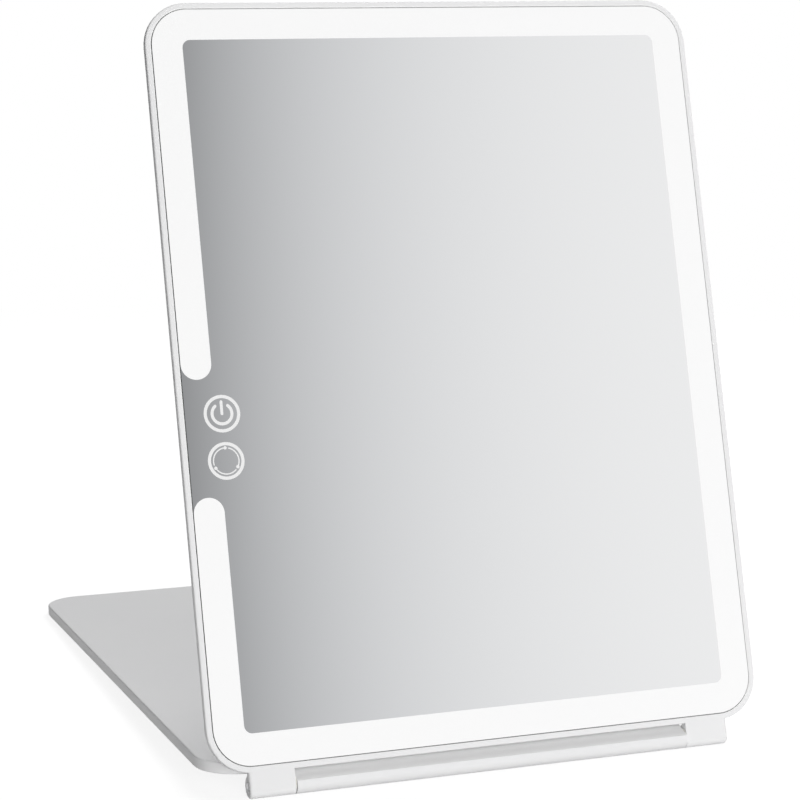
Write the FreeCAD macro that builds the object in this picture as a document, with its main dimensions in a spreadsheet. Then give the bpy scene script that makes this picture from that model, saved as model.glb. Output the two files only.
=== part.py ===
"""Folding lighted makeup mirror: a slim mirror panel and the flip cover that stands it up.

The panel holds a glass pane with a frosted light band, the lights, a battery and a charging socket.
The cover closes over the glass, and turns round under the panel to lie behind it as a stand.

Two frames are used, both with the hinge axis as their origin and X along it:
  the panel's frame has Y up the panel and Z towards the viewer, so that a sketch is its front view;
  the cover's frame has Y along the plate, away from the hinge, and Z out of its outer face.
Each piece is drawn flat in one of them and then placed, so the finished object stands with +Z up
and its mirror facing -Y.
"""
import FreeCAD, Part
import math
import os
import re

import Sketcher

# Driving sizes, in millimetres and degrees: name, number, what it is.
SIZES = {
    # Panel
    "panel_width": (173.6, "mirror panel, side to side"),
    "panel_height": (224.2, "mirror panel, along its slope"),
    "panel_corner": (13.1, "corner radius of the panel and of the cover"),
    "panel_thickness": (9.0, "front of the glass to the back of the shell"),
    "panel_tilt": (16.5, "lean of the panel behind upright, on its stop"),
    "rim_wall": (1.5, "front frame, seen from the front"),
    "rim_depth": (2.2, "straight side wall, before the bevelled shell"),
    "rim_round": (0.5, "rounding of the frame's front outer edge"),
    "seam_chamfer": (0.2, "chamfer of the frame and of the rear cover at their parting line"),
    "glass_gap": (0.3, "gap between the frame and the pane"),
    "glass_thickness": (1.5, "mirror pane"),
    "shell_wall": (1.2, "wall of the rear cover"),
    "shell_round": (1.0, "rounding where the bevel meets the back"),
    # Light
    "band_width": (9.35, "frosted light band along the pane's edge"),
    "band_clear_low": (2.3, "lower end of the band's gap below the touch board"),
    "band_clear_high": (2.1, "upper end of the band's gap above the touch board"),
    "tape_thickness": (0.1, "clear adhesive behind the pane"),
    "diffuser_thickness": (1.0, "light diffuser"),
    "diffuser_gap": (0.1, "diffuser to the rear cover's wall"),
    "diffuser_lap": (0.4, "diffuser beyond the band's inner edge"),
    "rail_inset": (2.5, "rail that carries the diffuser, in from the panel's outline"),
    "rail_wall": (1.0, "rail that carries the diffuser"),
    "strip_rail_inset": (6.2, "rail under the light strips, in from the panel's outline"),
    "strip_rail_wall": (2.2, "rail under the light strips"),
    "rail_sink": (0.2, "how far rails, posts and bosses root in the shell"),
    "strip_depth": (3.6, "front of the light strips behind the panel's front"),
    "strip_width": (5.8, "light strip"),
    "strip_thickness": (0.4, "light strip"),
    "strip_end": (1.0, "strip's end short of the corner and of the band's gap"),
    "chip_length": (3.5, "light chip, along the strip"),
    "chip_width": (2.8, "light chip, across the strip"),
    "chip_height": (0.7, "light chip"),
    "chip_pitch": (10.0, "least spacing of the light chips"),
    "jumper_width": (2.0, "corner bridge between two strips"),
    "jumper_thickness": (0.2, "corner bridge between two strips"),
    "jumper_lap": (1.0, "corner bridge beyond each strip's end, along its own length"),
    # Touch signs
    "touch_inset": (10.9, "touch signs' middle, in from the pane's left edge"),
    "tone_height": (87.5, "light-tone sign above the pane's lower edge, with the power sign over it"),
    "pad_diameter": (10.0, "copper pad behind each sign"),
    "pad_gap": (3.7, "between the two pads"),
    "pad_thickness": (0.1, "copper pad"),
    "touch_board_width": (14.0, "touch board"),
    "touch_board_margin": (3.0, "touch board beyond the pads"),
    "touch_board_corner": (2.0, "touch board's corner radius"),
    "touch_board_thickness": (0.6, "touch board"),
    "ribbon_width": (4.0, "flat ribbon to the main board"),
    "ribbon_thickness": (0.2, "flat ribbon"),
    "ribbon_start": (6.0, "ribbon's lap on the touch board"),
    "ribbon_landing": (11.0, "ribbon's landing in from the main board's inner edge"),
    "ribbon_below_top": (3.6, "ribbon's middle below the main board's upper edge"),
    # Main board
    "board_width": (34.0, "main board, side to side"),
    "board_height": (60.0, "main board, up the panel"),
    "board_thickness": (0.8, "main board"),
    "board_depth": (6.0, "board's middle plane behind the panel's front"),
    "board_clearance": (0.2, "board's edge to the strip rail"),
    "board_part_height": (2.0, "tallest part on the board"),
    "boss_diameter": (4.0, "boss under each board screw"),
    "screw_diameter": (1.9, "board screw"),
    "screw_clearance": (0.1, "all round a board screw's shank"),
    "screw_head_diameter": (3.6, "board screw's head"),
    "screw_head_height": (1.2, "board screw's head"),
    "screw_grip": (1.8, "screw's length in its boss"),
    "screw_inset": (4.0, "screws in from the board's edges"),
    "strip_pin_diameter": (0.6, "pin from the board to the right strip"),
    "strip_pin_inset": (0.4, "pins in from the board's outer edge"),
    "strip_pin_spread": (16.0, "pins below the socket's middle"),
    "strip_pin_pitch": (4.0, "spacing of the two pins"),
    # Charging socket
    "socket_height": (60.0, "socket's middle above the panel's lower edge"),
    "socket_width": (8.94, "socket shell outside, the long way"),
    "socket_thickness": (3.2, "socket shell outside, the short way"),
    "socket_wall": (0.3, "socket shell"),
    "socket_recess": (0.3, "socket's mouth in from the panel's side"),
    "socket_clearance": (0.1, "all round the shell in its housing"),
    "socket_block": (2.0, "moulded block at the inner end of the socket"),
    "tongue_width": (6.7, "contact tongue"),
    "tongue_thickness": (0.7, "contact tongue"),
    "tongue_recess": (0.9, "tongue's tip in from the mouth"),
    "housing_length": (28.0, "socket housing, up the panel"),
    "housing_step": (0.4, "housing's back in front of the shell's back"),
    "housing_inset": (7.4, "housing's inner face in from the panel's side"),
    "housing_round": (0.5, "rounding of the housing's outer edges"),
    "pipe_diameter": (1.6, "light pipe"),
    "pipe_offset": (9.0, "light pipe above the socket's middle"),
    "pipe_clearance": (0.05, "all round the light pipe"),
    # Battery
    "battery_width": (60.0, "battery cell"),
    "battery_height": (95.0, "battery cell"),
    "battery_thickness": (3.4, "battery cell"),
    "battery_corner": (2.0, "battery cell's corner radius"),
    "battery_aside": (8.0, "cell's middle left of the panel's middle"),
    "battery_up": (115.0, "cell's middle above the panel's lower edge"),
    "battery_tape_thickness": (0.2, "tape under the cell"),
    "battery_tape_margin": (6.0, "tape's edge in from the cell's"),
    "lead_diameter": (0.9, "battery lead"),
    "lead_pitch": (2.0, "spacing of the two leads"),
    "lead_lap": (3.0, "leads' lap on the board"),
    "lead_below_top": (16.0, "leads below the main board's upper edge"),
    # Magnets
    "magnet_diameter": (8.0, "closing magnet"),
    "magnet_thickness": (2.0, "closing magnet in the panel"),
    "magnet_air": (0.2, "magnet to the back of the pane"),
    "magnet_side_gap": (11.25, "magnet's edge in from the diffuser's side"),
    "magnet_top_gap": (1.45, "magnet's edge below the diffuser's top run"),
    "cover_magnet_thickness": (1.6, "closing magnet in the cover"),
    "magnet_clearance": (0.05, "all round a magnet in its pocket"),
    # Hinge
    "axis_behind_front": (2.42, "hinge axis behind the panel's front"),
    "axis_below_panel": (4.0, "hinge axis below the panel's lower edge"),
    "knuckle_radius": (3.35, "ears and barrel"),
    "hinge_inset": (11.3, "ear's outer end in from the panel's side"),
    "ear_gap": (0.3, "barrel's end to the ear"),
    "ear_length": (13.6, "ear along the axis"),
    "ear_round": (0.8, "rounding of the ears' outer ends"),
    "ear_crease_round": (2.0, "rounding between an ear's flat front and its round underside"),
    "ear_root": (0.9, "how far an ear roots in the frame"),
    "pin_diameter": (2.0, "hinge pin"),
    "pin_head_diameter": (2.8, "hinge pin's head"),
    "pin_head_length": (1.0, "hinge pin's head"),
    "pin_recess": (0.5, "pin's head in from the ear's end"),
    "pin_reach": (20.0, "pin's length in the barrel"),
    "sleeve_diameter": (3.2, "friction sleeve, outside"),
    "sleeve_length": (18.0, "friction sleeve"),
    "running_clearance": (0.03, "pin to sleeve, on the radius"),
    "bore_spare": (1.0, "barrel's bore beyond the pin's tip"),
    "washer_diameter": (5.0, "thrust washer"),
    "washer_thickness": (0.2, "thrust washer"),
    # Cover
    "cover_thickness": (3.5, "cover plate"),
    "closing_gap": (0.3, "cover plate to the panel's front, shut"),
    "cover_outer_round": (0.5, "rounding of the plate's outer edges"),
    "cover_inner_round": (0.4, "rounding of the plate's inner edges"),
    "facet_distance": (2.27, "flat on the barrel, from the axis"),
    "facet_angle": (18.7, "slope of that flat against the plate"),
    "web_angle": (35.0, "where the web's underside leaves the barrel"),
    "web_root": (3.0, "how far the web roots in the plate"),
    "stop_gap": (0.3, "plate's near edge to the panel's bevel, on the stop"),
    "bumper_diameter": (6.0, "soft bumper"),
    "bumper_seat": (0.8, "bumper's depth in the plate"),
    "bumper_air": (0.05, "bumper to the pane, shut"),
    "bumper_from_side": (44.8, "bumpers in from the plate's sides"),
    "bumper_from_far": (6.0, "far bumpers in from the plate's far edge"),
    "bumper_from_near": (14.0, "near bumpers in from the plate's near edge"),
    # Making
    "overrun": (1.0, "cuts run this far past the material"),
}

# Places worked out from the sizes, each written in their words.
PLACES = {
    "front": "axis_behind_front",
    "panel_low": "axis_below_panel",
    "panel_mid": "axis_below_panel + panel_height / 2",
    "panel_top": "axis_below_panel + panel_height",
    "panel_half": "panel_width / 2",
    "glass_inset": "rim_wall + glass_gap",
    "glass_low": "panel_low + glass_inset",
    "diffuser_inner": "glass_inset + band_width + diffuser_lap",
    "diffuser_front": "glass_thickness + tape_thickness",
    "diffuser_back": "diffuser_front + diffuser_thickness",
    "bevel": "panel_thickness - rim_depth",
    "wall_across": "shell_wall * sqrt(2)",
    "diffuser_inset": "wall_across + diffuser_back - rim_depth + diffuser_gap",
    "floor_depth": "panel_thickness - shell_wall",
    "cavity_inset": "wall_across + floor_depth - rim_depth",
    "rail_root": "rim_depth + rail_inset + (rail_wall - wall_across) / 2",
    "pad_pitch": "pad_diameter + pad_gap",
    "power_height": "tone_height + pad_pitch",
    "board_reach": "pad_diameter / 2 + touch_board_margin",
    "band_gap_low": "tone_height - board_reach - band_clear_low",
    "band_gap_high": "power_height + board_reach + band_clear_high",
    "strip_back": "strip_depth + strip_thickness",
    "strip_inset": "glass_inset + band_width / 2",
    "strip_side": "panel_half - strip_inset",
    "strip_stop": "panel_corner + strip_end",
    "touch_x": "-panel_half + glass_inset + touch_inset",
    "board_outer": "panel_half - strip_rail_inset - strip_rail_wall - board_clearance",
    "board_inner": "board_outer - board_width",
    "board_front": "board_depth - board_thickness / 2",
    "board_back": "board_depth + board_thickness / 2",
    "socket_y": "panel_low + socket_height",
    "board_top": "socket_y + board_height / 2",
    "socket_mouth": "panel_half - socket_recess",
    "socket_plane": "front - board_depth",
    "magnet_aside": "panel_half - diffuser_inner - magnet_side_gap - magnet_diameter / 2",
    "magnet_y": "panel_top - diffuser_inner - magnet_top_gap - magnet_diameter / 2",
    "magnet_back": "glass_thickness + magnet_air + magnet_thickness",
    "ear_outer": "panel_half - hinge_inset",
    "ear_inner": "ear_outer - ear_length",
    "barrel_length": "2 * (ear_inner - ear_gap)",
    "inner_face": "axis_behind_front + closing_gap",
    "outer_face": "inner_face + cover_thickness",
    "far_edge": "panel_top",
    "bumper_aside": "panel_half - bumper_from_side",
    "far_bumper_y": "far_edge - bumper_from_far",
    "near_bumper_y": "panel_low + bumper_from_near",
    "bumper_face": "axis_behind_front + bumper_air",
    "foot_reach": "far_bumper_y + bumper_diameter / 2",
    "foot_span": "sqrt(foot_reach * foot_reach + bumper_face * bumper_face)",
    "cover_slope": "(asin(knuckle_radius / foot_span) + atan(bumper_face / foot_reach)) / 1 deg",
    "panel_lean": "panel_tilt - cover_slope",
    "axis_y": "-(far_edge * cos(cover_slope) + outer_face * sin(cover_slope) - knuckle_radius) / 2",
}

PANEL = "panel"
COVER = "cover"
SIDES = {"left": -1, "right": 1}
MATCH = 1e-4  # an edge or face this near a place, in millimetres, is taken to lie there

doc = FreeCAD.newDocument("folding_mirror")
sheet = doc.addObject("Spreadsheet::Sheet", "Sizes")
sub_parts = []


def fill_sheet():
    """Write the driving sizes into the sheet, one row each, with the name as the cell's alias."""
    for row, (name, (number, note)) in enumerate(SIZES.items(), start=1):
        sheet.set(f"A{row}", name)
        sheet.set(f"B{row}", str(number))
        sheet.setAlias(f"B{row}", name)
        sheet.set(f"C{row}", note)
    doc.recompute()


def formula(words):
    """Turn a formula in the words of SIZES and PLACES into an expression on the sheet's cells."""
    def swap(match):
        word = match.group()
        if word in SIZES:
            return f"Sizes.{word}"
        if word in PLACES:
            return f"({formula(PLACES[word])})"
        return word
    return re.sub(r"[a-z][a-z_]*", swap, str(words))


def value(words):
    """The number that a formula gives with the sizes in the sheet."""
    result = sheet.evalExpression(formula(words))
    return float(getattr(result, "Value", result))


def bind(item, **properties):
    """Tie properties of a document object to formulas; Base_x stands for Placement.Base.x."""
    for name, words in properties.items():
        path = f"Placement.Base.{name[-1]}" if name.startswith("Base_") else name
        item.setExpression(path, formula(words))
    return item


def place(item, frame):
    """Stand a piece drawn in the panel's frame up, or lay one drawn in the cover's frame down."""
    angle = "90 - panel_tilt" if frame == PANEL else "-cover_slope"
    item.Placement = FreeCAD.Placement(FreeCAD.Vector(), FreeCAD.Rotation(FreeCAD.Vector(1, 0, 0), 1))
    bind(item, Base_y="axis_y", Base_z="knuckle_radius")
    item.setExpression("Placement.Rotation.Angle", formula(angle))
    sub_parts.append(item)
    return item


def new_body(label):
    body = doc.addObject("PartDesign::Body", label)
    body.Label = label
    return body


def new_sketch(body, plane, offset):
    """An empty sketch parallel to one of the body's own planes, at a distance along its normal."""
    sketch = body.newObject("Sketcher::SketchObject", f"{body.Label}_sketch")
    support = [item for item in body.Origin.OriginFeatures if item.Role == plane][0]
    sketch.AttachmentSupport = [(support, "")]
    sketch.MapMode = "FlatFace"
    sketch.setExpression("AttachmentOffset.Base.z", formula(offset))
    return sketch


def fix(sketch, constraint, words):
    index = sketch.addConstraint(constraint)
    sketch.setExpression(f"Constraints[{index}]", formula(words))


def draw_arc(sketch, start, end, radius, turn):
    """Add the short arc between two points; turn is 1 for anticlockwise and -1 for clockwise."""
    chord = end - start
    across = FreeCAD.Vector(-chord.y, chord.x, 0).normalize()
    rise = math.sqrt(max(radius ** 2 - (chord.Length / 2) ** 2, 0))
    centre = (start + end) / 2 + across * rise * turn
    first, last = (start, end) if turn > 0 else (end, start)
    angles = [math.atan2(point.y - centre.y, point.x - centre.x) for point in (first, last)]
    circle = Part.Circle(centre, FreeCAD.Vector(0, 0, 1), radius)
    return sketch.addGeometry(Part.ArcOfCircle(circle, angles[0], angles[1]))


def draw_loop(sketch, corners, arcs=None):
    """Draw a closed outline. arcs gives, for a corner's number, the radius and turn of the arc after it."""
    arcs = arcs or {}
    points = [FreeCAD.Vector(value(x), value(y), 0) for x, y in corners]
    pieces = []
    for number, start in enumerate(points):
        end = points[(number + 1) % len(points)]
        if number in arcs:
            radius, turn = arcs[number]
            piece = draw_arc(sketch, start, end, value(radius), turn)
            pieces.append((piece, 1, 2) if turn > 0 else (piece, 2, 1))
        else:
            pieces.append((sketch.addGeometry(Part.LineSegment(start, end)), 1, 2))
    for number, (piece, _, last) in enumerate(pieces):
        after, after_first, _ = pieces[(number + 1) % len(pieces)]
        sketch.addConstraint(Sketcher.Constraint("Coincident", piece, last, after, after_first))
    for number, (piece, first, _) in enumerate(pieces):
        x, y = corners[number]
        fix(sketch, Sketcher.Constraint("DistanceX", -1, 1, piece, first, value(x)), x)
        fix(sketch, Sketcher.Constraint("DistanceY", -1, 1, piece, first, value(y)), y)
        if number in arcs:
            radius = arcs[number][0]
            fix(sketch, Sketcher.Constraint("Radius", piece, value(radius)), radius)


def draw_circle(sketch, x, y, diameter):
    centre = FreeCAD.Vector(value(x), value(y), 0)
    circle = Part.Circle(centre, FreeCAD.Vector(0, 0, 1), value(diameter) / 2)
    piece = sketch.addGeometry(circle)
    fix(sketch, Sketcher.Constraint("DistanceX", -1, 1, piece, 3, value(x)), x)
    fix(sketch, Sketcher.Constraint("DistanceY", -1, 1, piece, 3, value(y)), y)
    fix(sketch, Sketcher.Constraint("Diameter", piece, value(diameter)), diameter)


def rounded(width, height, radius, x="0", y="0"):
    """Corners and arcs of a rectangle with round corners about a middle point."""
    left, right = f"{x} - ({width}) / 2", f"{x} + ({width}) / 2"
    low, high = f"{y} - ({height}) / 2", f"{y} + ({height}) / 2"
    corners = [
        (f"{left} + ({radius})", low), (f"{right} - ({radius})", low),
        (right, f"{low} + ({radius})"), (right, f"{high} - ({radius})"),
        (f"{right} - ({radius})", high), (f"{left} + ({radius})", high),
        (left, f"{high} - ({radius})"), (left, f"{low} + ({radius})"),
    ]
    return corners, {number: (radius, 1) for number in (1, 3, 5, 7)}


def inset(distance):
    """The panel's outline, drawn in by a distance all round."""
    return rounded(f"panel_width - 2 * ({distance})", f"panel_height - 2 * ({distance})",
                   f"panel_corner - ({distance})", y="panel_mid")


def rectangle(left, low, right, high):
    return [(left, low), (right, low), (right, high), (left, high)], {}


def extrude(kind, body, sketch, length, reverse=False):
    """A Pad or a Pocket of a sketch. A Pad follows the sketch's normal, and a Pocket goes against it."""
    feature = body.newObject(f"PartDesign::{kind}", f"{body.Label}_{kind.lower()}")
    feature.Profile = sketch
    feature.Reversed = reverse
    bind(feature, Length=length)
    doc.recompute()
    return feature


def slab(body, loops, back, front):
    """Material between two heights of the body's own frame, inside one loop or between two."""
    sketch = new_sketch(body, "XY_Plane", back)
    for corners, arcs in loops:
        draw_loop(sketch, corners, arcs)
    return extrude("Pad", body, sketch, f"({front}) - ({back})")


def between(shallow, deep):
    """Two depths behind the panel's front, as the back and front heights of a slab."""
    return f"front - ({deep})", f"front - ({shallow})"


def faces_at(feature, axis, place_words):
    """Names of the flat faces that lie square to an axis at a place."""
    found = []
    for number, face in enumerate(feature.Shape.Faces, start=1):
        box = face.BoundBox
        low, high = getattr(box, f"{axis}Min"), getattr(box, f"{axis}Max")
        if abs(low - value(place_words)) < MATCH and abs(high - low) < MATCH:
            found.append(f"Face{number}")
    return found


def round_edges(body, feature, names, radius, label):
    fillet = body.newObject("PartDesign::Fillet", f"{body.Label}_{label}")
    fillet.Base = (feature, names)
    bind(fillet, Radius=radius)
    doc.recompute()
    return fillet


def chamfer_edges(body, feature, names, size, label):
    chamfer = body.newObject("PartDesign::Chamfer", f"{body.Label}_{label}")
    chamfer.Base = (feature, names)
    bind(chamfer, Size=size)
    doc.recompute()
    return chamfer


def edge_names(feature, test):
    return [f"Edge{number}" for number, edge in enumerate(feature.Shape.Edges, start=1) if test(edge)]


def box(name, x, y, z, width, height, depth):
    """A block with its lowest corner at x, y, z."""
    item = doc.addObject("Part::Box", name)
    bind(item, Length=width, Width=height, Height=depth, Base_x=x, Base_y=y, Base_z=z)
    return item


def disc(name, x, y, z, diameter, thickness):
    """A round post along Z, standing on height z."""
    item = doc.addObject("Part::Cylinder", name)
    bind(item, Radius=f"({diameter}) / 2", Height=thickness, Base_x=x, Base_y=y, Base_z=z)
    return item


def rod(name, x, y, z, diameter, length):
    """A round bar along X, from x towards +X."""
    item = doc.addObject("Part::Cylinder", name)
    along_x = FreeCAD.Rotation(FreeCAD.Vector(0, 1, 0), 90)
    item.Placement = FreeCAD.Placement(FreeCAD.Vector(), along_x)
    return bind(item, Radius=f"({diameter}) / 2", Height=length, Base_x=x, Base_y=y, Base_z=z)


def group(label, items, frame):
    """One sub-part of one or more separate solids."""
    item = doc.addObject("Part::Compound", label)
    item.Label = label
    item.Links = items
    return place(item, frame)


def cut(label, base, tool):
    item = doc.addObject("Part::Cut", label)
    item.Label = label
    item.Base = base
    item.Tool = tool
    return item


def fuse(label, items):
    item = doc.addObject("Part::MultiFuse", label)
    item.Label = label
    item.Shapes = items
    return item


def make_front_frame():
    """The narrow rim round the glass, with an ear for the hinge at each end of its lower edge."""
    body = new_body("front_frame")
    rim = slab(body, [inset("0"), inset("rim_wall")], *between("0", "rim_depth"))
    outer = edge_names(rim, lambda edge: on_outline(edge, value("front")))
    soft = round_edges(body, rim, outer, "rim_round", "soft_edge")
    seam = edge_names(soft, lambda edge: on_outline(edge, value("front - rim_depth")))
    chamfer_edges(body, soft, seam, "seam_chamfer", "parting_line")
    for side in SIDES:
        add_ear(body, side)
    return place(body, PANEL)


def on_outline(edge, height):
    """Whether an edge belongs to the panel's outer outline at a height of the body's frame."""
    box_of = edge.BoundBox
    if abs(box_of.ZMin - height) > MATCH or abs(box_of.ZMax - height) > MATCH:
        return False
    half, low, high = value("panel_half"), value("panel_low"), value("panel_top")
    reach = max(abs(box_of.XMin), abs(box_of.XMax))
    return abs(reach - half) < MATCH or abs(box_of.YMin - low) < MATCH or abs(box_of.YMax - high) < MATCH


def add_ear(body, side):
    """A round ear with a flat front in the panel's plane, a tapered neck, and a stepped pin hole."""
    start = "-ear_outer" if side == "left" else "ear_inner"
    outer = "-ear_outer" if side == "left" else "ear_outer"
    neck = "atan((front - rim_depth) / panel_low) - acos(knuckle_radius / sqrt(panel_low * panel_low" \
           " + (front - rim_depth) * (front - rim_depth)))"
    crease = "-sqrt(knuckle_radius * knuckle_radius - front * front)"
    corners = [
        ("panel_low + ear_root", "front"),
        (crease, "front"),
        ("-knuckle_radius * cos(45)", "-knuckle_radius * sin(45)"),
        (f"knuckle_radius * cos({neck})", f"knuckle_radius * sin({neck})"),
        ("panel_low", "front - rim_depth"),
        ("panel_low + ear_root", "front - rim_depth"),
    ]
    sketch = new_sketch(body, "YZ_Plane", start)
    draw_loop(sketch, corners, {1: ("knuckle_radius", 1), 2: ("knuckle_radius", 1)})
    ear = extrude("Pad", body, sketch, "ear_length")
    low = value(crease)
    sharp = edge_names(ear, lambda edge: abs(edge.BoundBox.YMin - low) < MATCH
                       and abs(edge.BoundBox.YMax - low) < MATCH)
    ear = round_edges(body, ear, sharp, "ear_crease_round", f"{side}_crease")
    end = value(outer)
    neck_end = value("panel_low")
    curved = edge_names(ear, lambda edge: abs(edge.BoundBox.XMin - end) < MATCH
                        and abs(edge.BoundBox.XMax - end) < MATCH and edge.BoundBox.YMax < neck_end)
    round_edges(body, ear, curved, "ear_round", f"{side}_end")
    inward = side == "left"
    hole = new_sketch(body, "YZ_Plane", outer)
    draw_circle(hole, "0", "0", "pin_diameter")
    extrude("Pocket", body, hole, "ear_length", reverse=inward)
    seat = new_sketch(body, "YZ_Plane", outer)
    draw_circle(seat, "0", "0", "pin_head_diameter")
    extrude("Pocket", body, seat, "pin_recess + pin_head_length", reverse=inward)


def loft(kind, body, first, second):
    """A ruled loft between two outlines, each given as a loop and a depth behind the panel's front."""
    sketches = []
    for loop, depth in (first, second):
        sketch = new_sketch(body, "XY_Plane", f"front - ({depth})")
        draw_loop(sketch, *loop)
        sketches.append(sketch)
    feature = body.newObject(f"PartDesign::{kind}Loft", f"{body.Label}_{kind.lower()}")
    feature.Profile = sketches[0]
    feature.Sections = [sketches[1]]
    feature.Ruled = True
    doc.recompute()
    return feature


def make_rear_cover():
    """The bevelled back shell, with rails for the diffuser and strips, posts, bosses and socket housing."""
    body = new_body("rear_cover")
    shell = loft("Additive", body, (inset("0"), "rim_depth"), (inset("bevel"), "panel_thickness"))
    back = faces_at(shell, "Z", "front - panel_thickness")
    soft = round_edges(body, shell, back, "shell_round", "soft_back")
    seam = edge_names(soft, lambda edge: on_outline(edge, value("front - rim_depth")))
    chamfer_edges(body, soft, seam, "seam_chamfer", "parting_line")
    loft("Subtractive", body, (inset("wall_across"), "rim_depth"), (inset("cavity_inset"), "floor_depth"))
    root = "floor_depth + rail_sink"
    slab(body, [inset("rail_inset"), inset("rail_inset + rail_wall")], *between("diffuser_back", "rail_root"))
    slab(body, [inset("strip_rail_inset"), inset("strip_rail_inset + strip_rail_wall")],
         *between("strip_back", root))
    for side in SIDES.values():
        add_post(body, f"{side} * magnet_aside", "magnet_y", "magnet_diameter", "magnet_back")
    for x, y in screw_places():
        add_post(body, x, y, "boss_diameter", "board_back")
        hole = new_sketch(body, "XY_Plane", "front - board_back")
        draw_circle(hole, x, y, "screw_diameter + 2 * screw_clearance")
        extrude("Pocket", body, hole, "screw_grip + screw_clearance")
    add_socket_housing(body)
    return place(body, PANEL)


def add_post(body, x, y, diameter, depth):
    back, front = between(depth, "floor_depth + rail_sink")
    sketch = new_sketch(body, "XY_Plane", back)
    draw_circle(sketch, x, y, diameter)
    extrude("Pad", body, sketch, f"({front}) - ({back})")


def add_socket_housing(body):
    """Fills the bevel out square round the socket, with a slot for it and a hole for the light pipe."""
    start = "socket_y - housing_length / 2"
    back = "panel_thickness - housing_step"
    corners = [
        ("panel_half", "front - rim_depth - seam_chamfer"),
        ("panel_half - seam_chamfer", "front - rim_depth"),
        ("panel_half - (strip_back - rim_depth)", "front - strip_back"),
        ("panel_half - housing_inset", "front - strip_back"),
        ("panel_half - housing_inset", f"front - ({back})"),
        ("panel_half", f"front - ({back})"),
    ]
    sketch = new_sketch(body, "XZ_Plane", f"-({start})")
    draw_loop(sketch, corners)
    housing = extrude("Pad", body, sketch, "housing_length", reverse=True)
    side, deep = value("panel_half"), value(f"front - ({back})")
    outer = edge_names(housing, lambda edge: abs(edge.BoundBox.XMax - side) < MATCH
                       and abs(edge.BoundBox.ZMax - deep) < MATCH)
    round_edges(body, housing, outer, "housing_round", "soft_housing")
    slot = new_sketch(body, "YZ_Plane", "panel_half + overrun")
    thickness = "socket_thickness + 2 * socket_clearance"
    draw_loop(slot, *rounded("socket_width + 2 * socket_clearance", thickness,
                             f"({thickness}) / 2 - socket_clearance", x="socket_y", y="socket_plane"))
    draw_circle(slot, "socket_y + pipe_offset", "socket_plane", "pipe_diameter + 2 * pipe_clearance")
    through = "panel_half - board_outer + overrun"
    extrude("Pocket", body, slot, through)


def make_glass_stack():
    """The pane, the clear tape behind its edge, and the diffuser, open where the touch signs are."""
    glass = new_body("mirror_glass")
    slab(glass, [inset("glass_inset")], *between("0", "glass_thickness"))
    place(glass, PANEL)
    for label, outer, inner, near, deep in (
        ("glass_tape", "glass_inset", "diffuser_inner", "glass_thickness", "diffuser_front"),
        ("light_diffuser", "diffuser_inset", "diffuser_inner", "diffuser_front", "diffuser_back"),
    ):
        ring = new_body(label)
        slab(ring, [inset(outer), inset(inner)], *between(near, deep))
        opening = new_sketch(ring, "XY_Plane", f"front - ({near})")
        draw_loop(opening, *rectangle("-panel_half", "glass_low + band_gap_low",
                                      f"-panel_half + ({inner}) + overrun", "glass_low + band_gap_high"))
        extrude("Pocket", ring, opening, f"({deep}) - ({near})")
        place(ring, PANEL)


def strip_runs():
    """Each light strip as its label, whether it runs across, its fixed line, and its two ends."""
    low, high = "panel_low + strip_stop", "panel_top - strip_stop"
    aside = "panel_half - strip_stop"
    short = "band_width / 2 + strip_end"
    return [
        ("led_strip_top", True, "panel_top - strip_inset", f"-({aside})", aside),
        ("led_strip_right", False, "strip_side", low, high),
        ("led_strip_bottom", True, "panel_low + strip_inset", f"-({aside})", aside),
        ("led_strip_left_upper", False, "-strip_side", f"glass_low + band_gap_high + {short}", high),
        ("led_strip_left_lower", False, "-strip_side", low, f"glass_low + band_gap_low - ({short})"),
    ]


def make_light_strips():
    """Five board strips behind the diffuser, their light chips, and the bridges round the corners."""
    chips = []
    for label, across, line, start, end in strip_runs():
        length = f"({end}) - ({start})"
        side = f"{line} - strip_width / 2"
        base = "front - strip_back"
        if across:
            strip = box(f"{label}_board", start, side, base, length, "strip_width", "strip_thickness")
        else:
            strip = box(f"{label}_board", side, start, base, "strip_width", length, "strip_thickness")
        group(label, [strip], PANEL)
        count = int(value(length) // value("chip_pitch"))
        for number in range(count):
            middle = f"{start} + ({length}) * ({number} + 0.5) / {count}"
            chips.append(make_chip(across, line, middle))
    group("led_chips", chips, PANEL)
    group("strip_jumpers", make_jumpers(), PANEL)


def make_chip(across, line, middle):
    along, aside = f"{middle} - chip_length / 2", f"{line} - chip_width / 2"
    base = "front - strip_depth"
    if across:
        return box("chip", along, aside, base, "chip_length", "chip_width", "chip_height")
    return box("chip", aside, along, base, "chip_width", "chip_length", "chip_height")


def make_jumpers():
    """A flat bridge over each corner, from the end of one strip to the end of the next."""
    jumpers = []
    reach = "(strip_stop - strip_inset) * sqrt(2) + 2 * jumper_lap"
    for x_side in SIDES.values():
        for y_side, edge in ((1, "panel_top"), (-1, "panel_low")):
            bridge = doc.addObject("Part::Box", "jumper")
            turn = -45 * x_side * y_side
            bridge.Placement.Rotation = FreeCAD.Rotation(FreeCAD.Vector(0, 0, 1), turn)
            middle = "(strip_stop + strip_inset) / 2"
            x = f"{x_side} * (panel_half - {middle})"
            y = f"{edge} - {y_side} * {middle}"
            along, across = f"({reach}) / 2", "jumper_width / 2"
            bind(bridge, Length=reach, Width="jumper_width", Height="jumper_thickness",
                 Base_x=f"{x} - ({along}) * cos({turn}) + {across} * sin({turn})",
                 Base_y=f"{y} - ({along}) * sin({turn}) - {across} * cos({turn})",
                 Base_z="front - strip_depth")
            jumpers.append(bridge)
    return jumpers


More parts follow.
